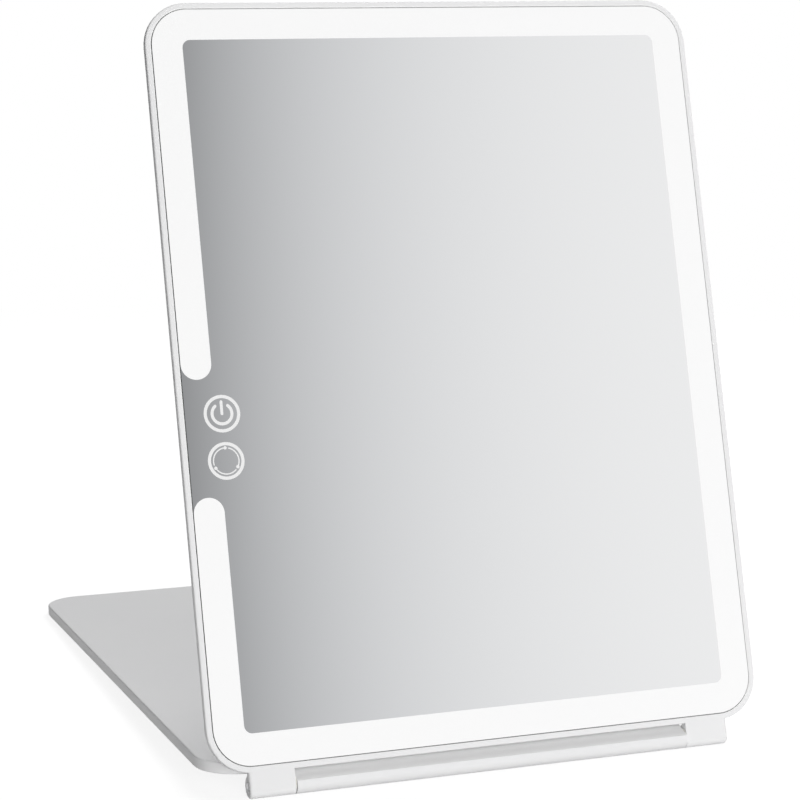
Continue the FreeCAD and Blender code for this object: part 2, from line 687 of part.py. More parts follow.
def make_touch_sensor():
    """The two copper pads behind the signs, their board, and the flat ribbon to the main board."""
    back, front = between("glass_thickness", "glass_thickness + pad_thickness")
    for label, height in (("power_touch_pad", "power_height"), ("tone_touch_pad", "tone_height")):
        pad = disc(f"{label}_disc", "touch_x", f"glass_low + {height}", back, "pad_diameter", "pad_thickness")
        group(label, [pad], PANEL)
    board = new_body("touch_board")
    tall = "pad_pitch + 2 * board_reach"
    deep = "glass_thickness + pad_thickness + touch_board_thickness"
    outline = rounded("touch_board_width", tall, "touch_board_corner", x="touch_x",
                      y="glass_low + (power_height + tone_height) / 2")
    slab(board, [outline], *between("glass_thickness + pad_thickness", deep))
    place(board, PANEL)
    ribbon = new_body("touch_ribbon")
    start = "touch_x + touch_board_width / 2 - ribbon_start"
    landing = "board_inner + ribbon_landing"
    corners = [
        (start, f"front - ({deep})"), (f"{landing} + ribbon_thickness", f"front - ({deep})"),
        (f"{landing} + ribbon_thickness", "front - board_front"), (landing, "front - board_front"),
        (landing, f"front - ({deep}) - ribbon_thickness"), (start, f"front - ({deep}) - ribbon_thickness"),
    ]
    sketch = new_sketch(ribbon, "XZ_Plane", "-(board_top - ribbon_below_top - ribbon_width / 2)")
    draw_loop(sketch, corners)
    extrude("Pad", ribbon, sketch, "ribbon_width", reverse=True)
    place(ribbon, PANEL)


def screw_places():
    xs = ("board_inner + screw_inset", "board_outer - screw_inset")
    ys = ("board_top - screw_inset", "board_top - board_height + screw_inset")
    return [(x, y) for x in xs for y in ys]


# Parts on the main board: middle across and up, width and height as shares of the board, and a share
# of the tallest part's height.
BOARD_PART_SHARES = [
    (0.30, 0.30, 0.16, 0.09, 0.60),
    (0.62, 0.24, 0.18, 0.10, 1.00),
    (0.40, 0.52, 0.22, 0.12, 0.55),
    (0.72, 0.76, 0.14, 0.06, 0.45),
    (0.22, 0.16, 0.10, 0.05, 0.40),
]


def make_main_board():
    """The main board on its four bosses, with its screws, its parts and the pins to the right strip."""
    body = new_body("main_board")
    low = "board_top - board_height"
    outline = rectangle("board_inner", low, "board_outer", "board_top")
    slab(body, [outline], *between("board_front", "board_back"))
    holes = new_sketch(body, "XY_Plane", "front - board_front")
    for x, y in screw_places():
        draw_circle(holes, x, y, "screw_diameter + 2 * screw_clearance")
    extrude("Pocket", body, holes, "board_thickness")
    place(body, PANEL)
    screws = []
    for x, y in screw_places():
        grip = "board_thickness + screw_grip"
        head = disc("screw_head", x, y, "front - board_front", "screw_head_diameter", "screw_head_height")
        shank = disc("screw_shank", x, y, f"front - board_front - ({grip})", "screw_diameter", grip)
        screws.append(fuse("board_screw", [head, shank]))
    group("board_screws", screws, PANEL)
    parts = []
    for x_share, y_share, width_share, height_share, tall_share in BOARD_PART_SHARES:
        width, height = f"board_width * {width_share}", f"board_height * {height_share}"
        parts.append(box("board_part", f"board_inner + board_width * {x_share} - {width} / 2",
                         f"{low} + board_height * {y_share} - {height} / 2", "front - board_front",
                         width, height, f"board_part_height * {tall_share}"))
    group("board_parts", parts, PANEL)
    pins = []
    for step in (-1, 1):
        pins.append(disc("strip_pin", "board_outer - strip_pin_inset",
                         f"socket_y - strip_pin_spread + {step} * strip_pin_pitch / 2", "front - board_front",
                         "strip_pin_diameter", "board_front - strip_back"))
    group("strip_pins", pins, PANEL)


def make_charging_socket():
    """The socket's steel shell, its moulded tongue, and the light pipe beside it."""
    shell = new_body("socket_shell")
    sketch = new_sketch(shell, "YZ_Plane", "board_outer")
    outer = ("socket_width", "socket_thickness")
    inner = ("socket_width - 2 * socket_wall", "socket_thickness - 2 * socket_wall")
    for width, thickness in (outer, inner):
        radius = f"({thickness}) / 2 - socket_clearance"
        draw_loop(sketch, *rounded(width, thickness, radius, x="socket_y", y="socket_plane"))
    extrude("Pad", shell, sketch, "socket_mouth - board_outer")
    place(shell, PANEL)
    tongue = new_body("socket_tongue")
    block = new_sketch(tongue, "YZ_Plane", "board_outer")
    draw_loop(block, *rounded(*inner, f"({inner[1]}) / 2 - socket_clearance", x="socket_y", y="socket_plane"))
    extrude("Pad", tongue, block, "socket_block")
    blade = new_sketch(tongue, "YZ_Plane", "board_outer")
    draw_loop(blade, *rectangle("socket_y - tongue_width / 2", "socket_plane - tongue_thickness / 2",
                                "socket_y + tongue_width / 2", "socket_plane + tongue_thickness / 2"))
    extrude("Pad", tongue, blade, "socket_mouth - tongue_recess - board_outer")
    place(tongue, PANEL)
    pipe = rod("light_pipe_rod", "board_outer", "socket_y + pipe_offset", "socket_plane", "pipe_diameter",
               "socket_mouth - board_outer")
    group("charge_light_pipe", [pipe], PANEL)


def make_battery():
    """The flat cell on its tape, and its two leads to the main board."""
    floor = "front - floor_depth"
    cell_back = f"{floor} + battery_tape_thickness"
    x, y = "-battery_aside", "panel_low + battery_up"
    tape = new_body("battery_tape")
    slab(tape, [rounded("battery_width - 2 * battery_tape_margin", "battery_height - 2 * battery_tape_margin",
                        "battery_corner", x=x, y=y)], floor, cell_back)
    place(tape, PANEL)
    cell = new_body("battery_cell")
    slab(cell, [rounded("battery_width", "battery_height", "battery_corner", x=x, y=y)],
         cell_back, f"{cell_back} + battery_thickness")
    place(cell, PANEL)
    leads = []
    start = "battery_width / 2 - battery_aside"
    for step in (-1, 1):
        leads.append(rod("lead", start, f"board_top - lead_below_top + {step} * lead_pitch / 2",
                         "front - board_front + lead_diameter / 2", "lead_diameter",
                         f"board_inner + lead_lap - ({start})"))
    group("battery_leads", leads, PANEL)


def make_magnets():
    """Two closing magnets on the panel's posts, and two in pockets of the cover, opposite them when shut."""
    panel_magnets, cover_magnets = [], []
    for side in SIDES.values():
        x = f"{side} * magnet_aside"
        panel_magnets.append(disc("panel_magnet", x, "magnet_y", "front - magnet_back",
                                  "magnet_diameter", "magnet_thickness"))
        cover_magnets.append(disc("cover_magnet", x, "magnet_y", "inner_face + magnet_clearance",
                                  "magnet_diameter", "cover_magnet_thickness"))
    group("panel_magnets", panel_magnets, PANEL)
    group("cover_magnets", cover_magnets, COVER)


def make_hinge_pieces():
    """A headed pin in each ear, the friction sleeve it turns in, and the washer between ear and barrel."""
    for side, sign in SIDES.items():
        head_start = "ear_outer - pin_recess - pin_head_length"
        shank_start = "barrel_length / 2 - pin_reach"
        shank_length = f"({head_start}) - ({shank_start})"
        head = mirrored_rod(f"pin_head_{side}", sign, head_start, "pin_head_diameter", "pin_head_length")
        shank = mirrored_rod(f"pin_shank_{side}", sign, shank_start, "pin_diameter", shank_length)
        place(fuse(f"hinge_pin_{side}", [head, shank]), PANEL)
        sleeve_start = "barrel_length / 2 - sleeve_length"
        around = "pin_diameter + 2 * running_clearance"
        wall = mirrored_rod(f"sleeve_wall_{side}", sign, sleeve_start, "sleeve_diameter", "sleeve_length")
        bore = mirrored_rod(f"sleeve_bore_{side}", sign, f"{sleeve_start} - overrun", around,
                            "sleeve_length + 2 * overrun")
        place(cut(f"friction_sleeve_{side}", wall, bore), COVER)
        washer_start = "barrel_length / 2 + (ear_gap - washer_thickness) / 2"
        plate = mirrored_rod(f"washer_plate_{side}", sign, washer_start, "washer_diameter", "washer_thickness")
        hole = mirrored_rod(f"washer_hole_{side}", sign, f"{washer_start} - overrun", around,
                            "washer_thickness + 2 * overrun")
        place(cut(f"thrust_washer_{side}", plate, hole), COVER)


def mirrored_rod(name, sign, start, diameter, length):
    """A round bar along the hinge axis, on the left or right half, starting this far from the middle."""
    low = start if sign > 0 else f"-({start}) - ({length})"
    return rod(name, low, "0", "0", diameter, length)


def make_cover_plate():
    """The flat cover with the hinge barrel along its near edge, and pockets for bumpers and magnets."""
    body = new_body("cover_plate")
    plate = slab(body, [rounded("panel_width", "panel_height", "panel_corner", y="panel_mid")],
                 "inner_face", "outer_face")
    inner = faces_at(plate, "Z", "inner_face")
    soft = round_edges(body, plate, inner, "cover_inner_round", "soft_inside")
    outer = faces_at(soft, "Z", "outer_face")
    round_edges(body, soft, outer, "cover_outer_round", "soft_outside")
    cut_stop_face(body)
    add_barrel(body)
    add_pockets(body)
    return place(body, COVER)


def cut_stop_face(body):
    """Bevels the plate's near outer edge parallel to the panel's bevel, which it meets on the stop."""
    edge_y, edge_z = "panel_low", "front - rim_depth"
    y = f"({edge_y}) * sin(panel_lean) - ({edge_z}) * cos(panel_lean) + stop_gap * sin(45 - panel_lean)"
    z = f"({edge_y}) * cos(panel_lean) + ({edge_z}) * sin(panel_lean) - stop_gap * cos(45 - panel_lean)"
    run = "panel_low + cover_thickness + knuckle_radius"
    corners = [
        (y, z),
        (f"{y} + ({run}) * cos(45 - panel_lean)", f"{z} + ({run}) * sin(45 - panel_lean)"),
        (y, f"{z} + ({run}) * sin(45 - panel_lean)"),
    ]
    sketch = new_sketch(body, "YZ_Plane", "panel_half + overrun")
    draw_loop(sketch, corners)
    extrude("Pocket", body, sketch, "panel_width + 2 * overrun")


def add_barrel(body):
    """The round barrel with a flat along its top, a web to the plate, and a bore at each end."""
    half_flat = "sqrt(knuckle_radius * knuckle_radius - facet_distance * facet_distance)"
    rise = "facet_distance / cos(facet_angle) + panel_low * tan(facet_angle)"
    corners = [
        (f"-facet_distance * sin(facet_angle) - {half_flat} * cos(facet_angle)",
         f"facet_distance * cos(facet_angle) - {half_flat} * sin(facet_angle)"),
        ("panel_low", rise),
        ("panel_low + web_root", rise),
        ("panel_low + web_root", "inner_face"),
        ("panel_low", "inner_face"),
        ("knuckle_radius * cos(web_angle)", "knuckle_radius * sin(web_angle)"),
        ("0", "-knuckle_radius"),
    ]
    sketch = new_sketch(body, "YZ_Plane", "-barrel_length / 2")
    draw_loop(sketch, corners, {5: ("knuckle_radius", -1), 6: ("knuckle_radius", -1)})
    extrude("Pad", body, sketch, "barrel_length")
    for side, sign in SIDES.items():
        end = f"{sign} * barrel_length / 2"
        for diameter, depth in (("sleeve_diameter", "sleeve_length"),
                                ("pin_diameter + 2 * running_clearance", "pin_reach + bore_spare")):
            bore = new_sketch(body, "YZ_Plane", end)
            draw_circle(bore, "0", "0", diameter)
            extrude("Pocket", body, bore, depth, reverse=side == "left")


def add_pockets(body):
    """Round pockets in the plate's inner face."""
    sketch = new_sketch(body, "XY_Plane", "inner_face")
    for x, y in bumper_places("far_bumper_y") + bumper_places("near_bumper_y"):
        draw_circle(sketch, x, y, "bumper_diameter")
    extrude("Pocket", body, sketch, "bumper_seat", reverse=True)
    sketch = new_sketch(body, "XY_Plane", "inner_face")
    for side in SIDES.values():
        draw_circle(sketch, f"{side} * magnet_aside", "magnet_y", "magnet_diameter + 2 * magnet_clearance")
    extrude("Pocket", body, sketch, "cover_magnet_thickness + magnet_clearance", reverse=True)


def bumper_places(y):
    return [(f"{side} * bumper_aside", y) for side in SIDES.values()]


def make_bumpers():
    """Soft round pads in the cover's inner face; the far pair are the feet of the standing mirror."""
    for label, y in (("far_bumpers", "far_bumper_y"), ("near_bumpers", "near_bumper_y")):
        pads = [disc("bumper", x, y_place, "bumper_face", "bumper_diameter",
                     "inner_face - bumper_face + bumper_seat") for x, y_place in bumper_places(y)]
        group(label, pads, COVER)


def check_and_write():
    """Refuse a failed object or a bad shape, then write each sub-part to its own file."""
    doc.recompute()
    for item in doc.Objects:
        if "Invalid" in item.State or "Error" in item.State:
            raise RuntimeError(f"{item.Label} failed: {item.State}")
    os.makedirs("parts", exist_ok=True)
    for item in sub_parts:
        if item.Shape.isNull() or not item.Shape.isValid():
            raise RuntimeError(f"{item.Label} has no valid shape")
    for item in sub_parts:
        item.Shape.exportStep(f"parts/{item.Label}.step")
        print(item.Label, len(item.Shape.Solids), "solids", round(item.Shape.Volume, 2), "mm3")


fill_sheet()
make_front_frame()
make_rear_cover()
make_glass_stack()
make_light_strips()
make_touch_sensor()
make_main_board()
make_charging_socket()
make_battery()
make_magnets()
make_hinge_pieces()
make_cover_plate()
make_bumpers()
check_and_write()
print("cover slopes", round(value("cover_slope"), 4), "degrees, hinge axis at y", round(value("axis_y"), 4))
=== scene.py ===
# %% [markdown]
# # A folding lighted makeup mirror
#
# The object is a slim panel, about the size of a small tablet, with a silvered pane, a frosted band of
# light round its edge and two touch signs. A flat cover of the same size is hinged along the panel's
# lower edge. Here it is folded round behind the panel, where it is the stand.
#
# The solids come from the CAD model and are already in place, in metres. This lesson gives them their
# finishes, makes the pane anew with its band and signs, adds the small parts that repeat, and lights it.

# %% Load the frame
import math

import bmesh
import bpy
from mathutils import Matrix, Vector
from mathutils.geometry import delaunay_2d_cdt


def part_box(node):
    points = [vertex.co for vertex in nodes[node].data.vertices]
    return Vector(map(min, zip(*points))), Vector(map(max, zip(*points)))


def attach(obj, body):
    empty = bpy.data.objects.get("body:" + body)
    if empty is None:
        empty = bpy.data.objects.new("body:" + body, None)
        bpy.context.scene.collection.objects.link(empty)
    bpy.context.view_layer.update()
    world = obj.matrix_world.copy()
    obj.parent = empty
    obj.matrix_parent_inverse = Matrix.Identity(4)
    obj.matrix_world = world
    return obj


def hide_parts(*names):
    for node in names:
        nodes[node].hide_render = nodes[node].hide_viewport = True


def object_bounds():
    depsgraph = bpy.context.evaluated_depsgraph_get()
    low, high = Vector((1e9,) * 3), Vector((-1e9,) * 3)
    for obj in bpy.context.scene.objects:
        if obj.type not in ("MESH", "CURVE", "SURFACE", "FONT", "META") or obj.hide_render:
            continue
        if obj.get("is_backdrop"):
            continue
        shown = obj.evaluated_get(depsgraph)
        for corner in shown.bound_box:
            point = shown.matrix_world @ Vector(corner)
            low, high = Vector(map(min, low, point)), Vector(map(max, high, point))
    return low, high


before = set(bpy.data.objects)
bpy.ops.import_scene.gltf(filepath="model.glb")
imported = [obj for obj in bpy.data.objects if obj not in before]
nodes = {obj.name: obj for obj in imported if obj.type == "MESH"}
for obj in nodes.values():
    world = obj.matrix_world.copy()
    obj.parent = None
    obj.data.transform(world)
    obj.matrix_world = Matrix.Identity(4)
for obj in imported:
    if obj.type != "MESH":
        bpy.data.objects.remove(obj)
cad_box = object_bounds()
scene = bpy.context.scene
scene.view_settings.view_transform = "Standard"
print("nodes", len(nodes), "box", [tuple(round(v, 4) for v in corner) for corner in cad_box])

# %% [markdown]
# ## Helpers
#
# A colour is easiest to read as the hex value that a paint program shows, which is sRGB, while shaders
# calculate in linear light. One function turns the first into the second. Another adds a node to any
# tree, sets its properties, and fills each input with a number or a link. Every material and every
# Geometry Nodes tree below is written with it. Two more start a material and give it to CAD pieces.
#
# Patterns are laid on Object coordinates. They need no unwrapping, and since every piece is in metres, a
# grain keeps its real size on all of them.

# %% Helpers for colours, nodes and materials
# A Mix node has sockets of the same name for each kind of value, so its colours go by number
MIX_SHARE, MIX_FIRST, MIX_SECOND, MIX_COLOUR = 0, 6, 7, 2


def linear(hex_colour):
    """An sRGB hex colour as the linear RGBA that a shader socket takes."""
    channels = [int(hex_colour[place:place + 2], 16) / 255 for place in (1, 3, 5)]
    return (*[c / 12.92 if c <= 0.04045 else ((c + 0.055) / 1.055) ** 2.4 for c in channels], 1.0)


def add(tree, kind, inputs=None, **settings):
    """Add a node, set its properties, and fill its inputs with values or links."""
    node = tree.nodes.new(kind)
    for name, setting in settings.items():
        setattr(node, name, setting)
    for key, source in (inputs or {}).items():
        if isinstance(source, bpy.types.NodeSocket):
            tree.links.new(source, node.inputs[key])
        else:
            node.inputs[key].default_value = source
    return node


def new_material(name):
    """An empty material: its tree, the Object coordinates, and a function that closes it with a shader."""
    material = bpy.data.materials.new(name)
    material.use_nodes = True
    tree = material.node_tree
    tree.nodes.clear()
    place = add(tree, "ShaderNodeTexCoord").outputs["Object"]

    def close(shader):
        add(tree, "ShaderNodeOutputMaterial", {"Surface": shader.outputs[0]})
        return material
    return tree, place, close


def dress(material, *node_names):
    """Give CAD nodes a finish."""
    for name in node_names:
        nodes[name].material_slots[0].material = material
    print(material.name, "on", ", ".join(node_names))


# %% [markdown]
# ## Where the panel is
#
# The panel leans back, so its pane is best drawn flat and then stood up. The pane's own CAD mesh says
# how: its largest forward-facing triangle gives the direction that it faces, and its outermost points
# along the panel give the middle of its lower edge. That makes one matrix, from flat drawing to place:
# x across the panel, y up it, z towards the viewer.

# %% Measure the panel
glass_mesh = nodes["mirror_glass"].data
facing = max((p for p in glass_mesh.polygons if p.normal.y < 0), key=lambda p: p.area).normal.copy()
across = Vector((1, 0, 0))
up = facing.cross(across).normalized()
glass_points = [vertex.co for vertex in glass_mesh.vertices]
glass_low = min(point.dot(up) for point in glass_points)
glass_high = max(point.dot(up) for point in glass_points)
glass_front = max(point.dot(facing) for point in glass_points)
glass_back = min(point.dot(facing) for point in glass_points)
PANE_HALF = max(point.x for point in glass_points)
PANE_HEIGHT = glass_high - glass_low
PANE_THICKNESS = glass_front - glass_back
pane_origin = up * glass_low + facing * glass_front
PANEL = Matrix((across, up, facing)).transposed().to_4x4()
PANEL.translation = pane_origin
print("pane", round(2 * PANE_HALF, 4), "by", round(PANE_HEIGHT, 4), "by", round(PANE_THICKNESS, 4),
      "leaning", round(math.degrees(math.asin(facing.z)), 2), "degrees")

# %% [markdown]
# ## The camera
#
# The picture was taken with a long lens from a little to the left and a little above. The camera's place
# was fitted to the corners of the panel and the cover, and it looks straight along its axis, with no
# shift and no depth of field.

# %% Camera
CAMERA_PLACE = Vector((-0.2656, -0.76158, 0.23474))
CAMERA_AZIMUTH = math.radians(-19.99)
CAMERA_ELEVATION = math.radians(10.035)
CAMERA_LENS = 111.54


def put(name, data):
    """Put a mesh, camera or lamp into the scene as an object."""
    item = bpy.data.objects.new(name, data)
    scene.collection.objects.link(item)
    return item


looks_along = Vector((-math.sin(CAMERA_AZIMUTH) * math.cos(CAMERA_ELEVATION),
                      math.cos(CAMERA_AZIMUTH) * math.cos(CAMERA_ELEVATION),
                      -math.sin(CAMERA_ELEVATION)))
camera = put("camera", bpy.data.cameras.new("camera"))
camera.data.lens = CAMERA_LENS
camera.location = CAMERA_PLACE
camera.rotation_euler = looks_along.to_track_quat("-Z", "Y").to_euler()
scene.camera = camera
print("camera", round((CAMERA_PLACE - pane_origin).length, 3), "from the middle of the pane's lower edge")

# %% [markdown]
# ## The studio
#
# A white product on white loses its shape where light comes evenly from everywhere. So the room itself
# gives only a faint fill, and lamps do most of the work.
#
# The white background is what the camera sees of the world and the floor, not more light: both ask
# which kind of ray is looking. The floor still darkens a little where the object shades it.

# %% World
ROOM_LIGHT = 0.17
WHITE = linear("#FFFFFF")


def seen_directly(tree):
    """One for a camera, mirror or glass ray, and nothing for a ray that only carries soft light."""
    ray = add(tree, "ShaderNodeLightPath").outputs
    seen = add(tree, "ShaderNodeMath", {0: ray["Is Camera Ray"], 1: ray["Is Glossy Ray"]}, operation="ADD")
    return add(tree, "ShaderNodeMath", {0: seen.outputs[0], 1: ray["Is Transmission Ray"]},
               operation="ADD", use_clamp=True).outputs[0]


world = bpy.data.worlds.new("studio_room")
world.use_nodes = True
world.node_tree.nodes.clear()
fill = add(world.node_tree, "ShaderNodeBackground", {"Color": WHITE, "Strength": ROOM_LIGHT})
backdrop = add(world.node_tree, "ShaderNodeBackground", {"Color": WHITE, "Strength": 1.0})
room = add(world.node_tree, "ShaderNodeMixShader",
           {0: seen_directly(world.node_tree), 1: fill.outputs[0], 2: backdrop.outputs[0]})
add(world.node_tree, "ShaderNodeOutputWorld", {"Surface": room.outputs[0]})
scene.world = world
print("room light", ROOM_LIGHT)

# %% Floor
FLOOR_RADIUS = 4.0
FLOOR_STEPS = 96
FLOOR_FADE_START = 0.35
FLOOR_FADE_END = 0.9
FLOOR_GLOW = 0.86
FLOOR_GREY = linear("#C6C6C6")
FLOOR_SHADE = linear("#888888")


def white_floor():
    """A pale floor that the camera sees as white, faintly shaded near the object."""
    tree, place, close = new_material("white_floor")
    bounce = add(tree, "ShaderNodeBsdfDiffuse", {"Color": FLOOR_GREY})
    glow = add(tree, "ShaderNodeEmission", {"Color": WHITE, "Strength": FLOOR_GLOW})
    shade = add(tree, "ShaderNodeBsdfDiffuse", {"Color": FLOOR_SHADE})
    near = add(tree, "ShaderNodeAddShader", {0: glow.outputs[0], 1: shade.outputs[0]})
    far = add(tree, "ShaderNodeEmission", {"Color": WHITE, "Strength": 1.0})
    distance = add(tree, "ShaderNodeVectorMath", {0: place}, operation="LENGTH")
    fade = add(tree, "ShaderNodeMapRange",
               {"Value": distance.outputs["Value"], "From Min": FLOOR_FADE_START, "From Max": FLOOR_FADE_END},
               interpolation_type="SMOOTHSTEP")
    looked_at = add(tree, "ShaderNodeMixShader",
                    {0: fade.outputs[0], 1: near.outputs[0], 2: far.outputs[0]})
    return close(add(tree, "ShaderNodeMixShader",
                     {0: seen_directly(tree), 1: bounce.outputs[0], 2: looked_at.outputs[0]}))


def as_mesh(name, shape):
    """Keep a bmesh as a mesh, and free it."""
    mesh = bpy.data.meshes.new(name)
    shape.to_mesh(mesh)
    shape.free()
    return mesh


def stage_object(name, mesh, material):
    """Put something into the studio that is not part of the object."""
    mesh.materials.append(material)
    item = put(name, mesh)
    item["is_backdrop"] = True
    return item


disc = bmesh.new()
bmesh.ops.create_circle(disc, cap_ends=True, segments=FLOOR_STEPS, radius=FLOOR_RADIUS)
stage_object("floor", as_mesh("floor", disc), white_floor())
print("floor of radius", FLOOR_RADIUS, "all white from", FLOOR_FADE_END)

# %% [markdown]
# ### What the mirror shows
#
# A mirror shows what stands opposite it. Here that is the edge of a soft white scrim against a dimmer
# wall: a slow gradient, grey on the left and bright on the right, a trace cooler where it is dim. A
# card in front of the pane would suit one view only. A dome round the stage, which only mirror-like rays
# can see, gives the gradient from every side: its brightness follows x, because on a dome x is the
# sideways part of a ray's direction.

# %% Graded dome, seen only in reflections
DOME_RADIUS = 3.0
DOME_STEPS = 96
# The scrim's left edge and the width of its fall, as shares of the dome's radius
SCRIM_EDGE_SHARE = 0.239
SCRIM_SOFT_SHARE = 0.095
# Levels of light: the bright scrim, its loss at the edge, the wall beyond, and the wall's rise leftwards
SCRIM_LEVEL = 0.974
SCRIM_DROP = 0.513
WALL_LEVEL = 0.3
WALL_RISE = 0.25
COOL_WHITE = linear("#FAFCFF")
TINT_POWER = 3.0


def graded_dome():
    """Bright on the right, falling off steeply past the scrim's left edge, and rising again far left."""
    tree, place, close = new_material("graded_dome")
    x = add(tree, "ShaderNodeSeparateXYZ", {0: place}).outputs["X"]
    left = add(tree, "ShaderNodeMath", {0: x, 1: -1 / DOME_RADIUS, 2: SCRIM_EDGE_SHARE},
               operation="MULTIPLY_ADD").outputs[0]
    steps = add(tree, "ShaderNodeMath", {0: left, 1: SCRIM_SOFT_SHARE}, operation="DIVIDE").outputs[0]
    fall = add(tree, "ShaderNodeMath", {0: steps}, operation="EXPONENT").outputs[0]
    scrim = add(tree, "ShaderNodeMath", {0: fall, 1: -SCRIM_DROP, 2: SCRIM_LEVEL},
                operation="MULTIPLY_ADD").outputs[0]
    wall = add(tree, "ShaderNodeMath", {0: left, 1: WALL_RISE, 2: WALL_LEVEL},
               operation="MULTIPLY_ADD").outputs[0]
    level = add(tree, "ShaderNodeMath", {0: scrim, 1: wall}, operation="MAXIMUM").outputs[0]
    whiteness = add(tree, "ShaderNodeMath", {0: level, 1: TINT_POWER}, operation="POWER").outputs[0]
    tint = add(tree, "ShaderNodeMix", {MIX_SHARE: whiteness, MIX_FIRST: COOL_WHITE, MIX_SECOND: WHITE},
               data_type="RGBA")
    return close(add(tree, "ShaderNodeEmission", {"Color": tint.outputs[MIX_COLOUR], "Strength": level}))


def hide_from(item, *rays):
    """Let an object go unseen by some kinds of ray."""
    for ray in rays:
        setattr(item, f"visible_{ray}", False)


ball = bmesh.new()
bmesh.ops.create_uvsphere(ball, u_segments=DOME_STEPS, v_segments=DOME_STEPS // 2, radius=DOME_RADIUS)
dome = stage_object("dome", as_mesh("dome", ball), graded_dome())
hide_from(dome, "camera", "diffuse", "transmission", "volume_scatter", "shadow")
print("dome of radius", DOME_RADIUS, "with its scrim's edge at x", SCRIM_EDGE_SHARE * DOME_RADIUS)

# %% [markdown]
# ### Lamps, and a black flag
#
# A broad lamp in front, a little to the left and higher than the panel, lights its face. A long, low one
# reaches in under the frame to the hinge, and one overhead, behind on the right, lights the top of the
# cover. Area lamps stand for the softboxes of a studio: their large faces give soft shadows, which point
# lamps would not. They stay out of reflections, which the dome gives.
#
# A flag is a black board that takes light away. It stands close on the left and only soft light
# meets it, so faces that turn to the left go grey and show the object's edges.

# %% Lamps, and a black flag on the left
FLAG_PLACE = Vector((-0.3, 0.0, 0.6))
FLAG_SIDE = 2.0
FLAG_BLACK = linear("#0A0A0A")
LAMP_TARGET = Vector((0.0, -0.05, 0.1))
LAMPS = {
    # name: place, width, height, power in watts
    "front_lamp": (Vector((-0.3, -2.7, 0.95)), 1.8, 1.2, 37.5),
    "low_lamp": (Vector((-0.2, -2.4, 0.2)), 2.2, 0.3, 22.2),
    "top_lamp": (Vector((0.8, 0.6, 1.4)), 1.2, 1.2, 23.0),
}


def black_flag():
    """Black cloth on a board, which gives nothing back."""
    tree, _, close = new_material("black_flag")
    return close(add(tree, "ShaderNodeBsdfDiffuse", {"Color": FLAG_BLACK}))


board = bmesh.new()
upright = Matrix.Rotation(math.radians(90), 4, "Y")
bmesh.ops.create_grid(board, size=FLAG_SIDE / 2, matrix=Matrix.Translation(FLAG_PLACE) @ upright)
flag = stage_object("flag", as_mesh("flag", board), black_flag())
hide_from(flag, "camera", "glossy", "transmission", "volume_scatter", "shadow")

for name, (place, width, height, power) in LAMPS.items():
    lamp = put(name, bpy.data.lights.new(name, "AREA"))
    lamp.data.shape = "RECTANGLE"
    lamp.data.size = width
    lamp.data.size_y = height
    lamp.data.energy = power
    lamp.location = place
    lamp.rotation_euler = (LAMP_TARGET - place).to_track_quat("-Z", "Y").to_euler()
    hide_from(lamp, "glossy")
    print(name, power, "W at", round((LAMP_TARGET - place).length, 2))

# %% [markdown]
# ## White satin ABS
#
# The frame, the back and the cover are injection-moulded ABS from spark-eroded moulds, which gives a fine
# matt grain: broad soft highlights, and no sharp reflections. The real grain is about a tenth of a
# millimetre, finer than a pixel of the picture, so it is drawn at half a millimetre, as a relief and as a
# change of gloss. A slow change of tone, centimetres wide, keeps the large faces from looking like paper.
#
# The flat along the hinge barrel lies under the panel's edge, which shades it, so it is given a lighter
# white than the rest: painted light that lifts that shade. Its plane is measured on the cover's mesh, and
# what lies within its width and a twentieth of a millimetre of its plane is given the lighter tone.

# %% Measure the flat on the barrel
# Shares of a face's normal: how far it looks up, and how far forward
UP_LEAST = 0.8
FORWARD_LEAST = 0.2
FORWARD_MOST = 0.6


def leans_forward(face):
    """Whether a face looks up and somewhat forward, as the flat does."""
    return face.normal.z > UP_LEAST and FORWARD_LEAST < -face.normal.y < FORWARD_MOST


cover_mesh = nodes["cover_plate"].data
flat = max(filter(leans_forward, cover_mesh.polygons), key=lambda p: p.area)
flat_normal = flat.normal.copy()
flat_along = flat_normal.cross(across)
flat_height = flat.center.dot(flat_normal)
flat_reach = [cover_mesh.vertices[number].co.dot(flat_along) for number in flat.vertices]
flat_middle = (max(flat_reach) + min(flat_reach)) / 2
flat_half = (max(flat_reach) - min(flat_reach)) / 2
print("flat on the barrel: width", round(2 * flat_half, 5),
      "leaning", round(math.degrees(math.asin(-flat_normal.y)), 2), "degrees forward")

# %% Satin ABS
# The plastic's own two tones, mixed at random by a slow noise
ABS_TONE_DARK = linear("#E6E6E7")
ABS_TONE_LIGHT = linear("#EAEAEA")
# A lighter white painted on the flat under the panel's edge, where the panel shades it: painted light
LIFT_SHADE_WHITE = linear("#F2F2F2")
FLAT_SPARE = 0.00005
GRAIN_SIZE = 0.0005
GRAIN_HEIGHT = 0.000004
GRAIN_ROUGHNESS = (0.38, 0.52)
DRIFT_SIZE = 0.04


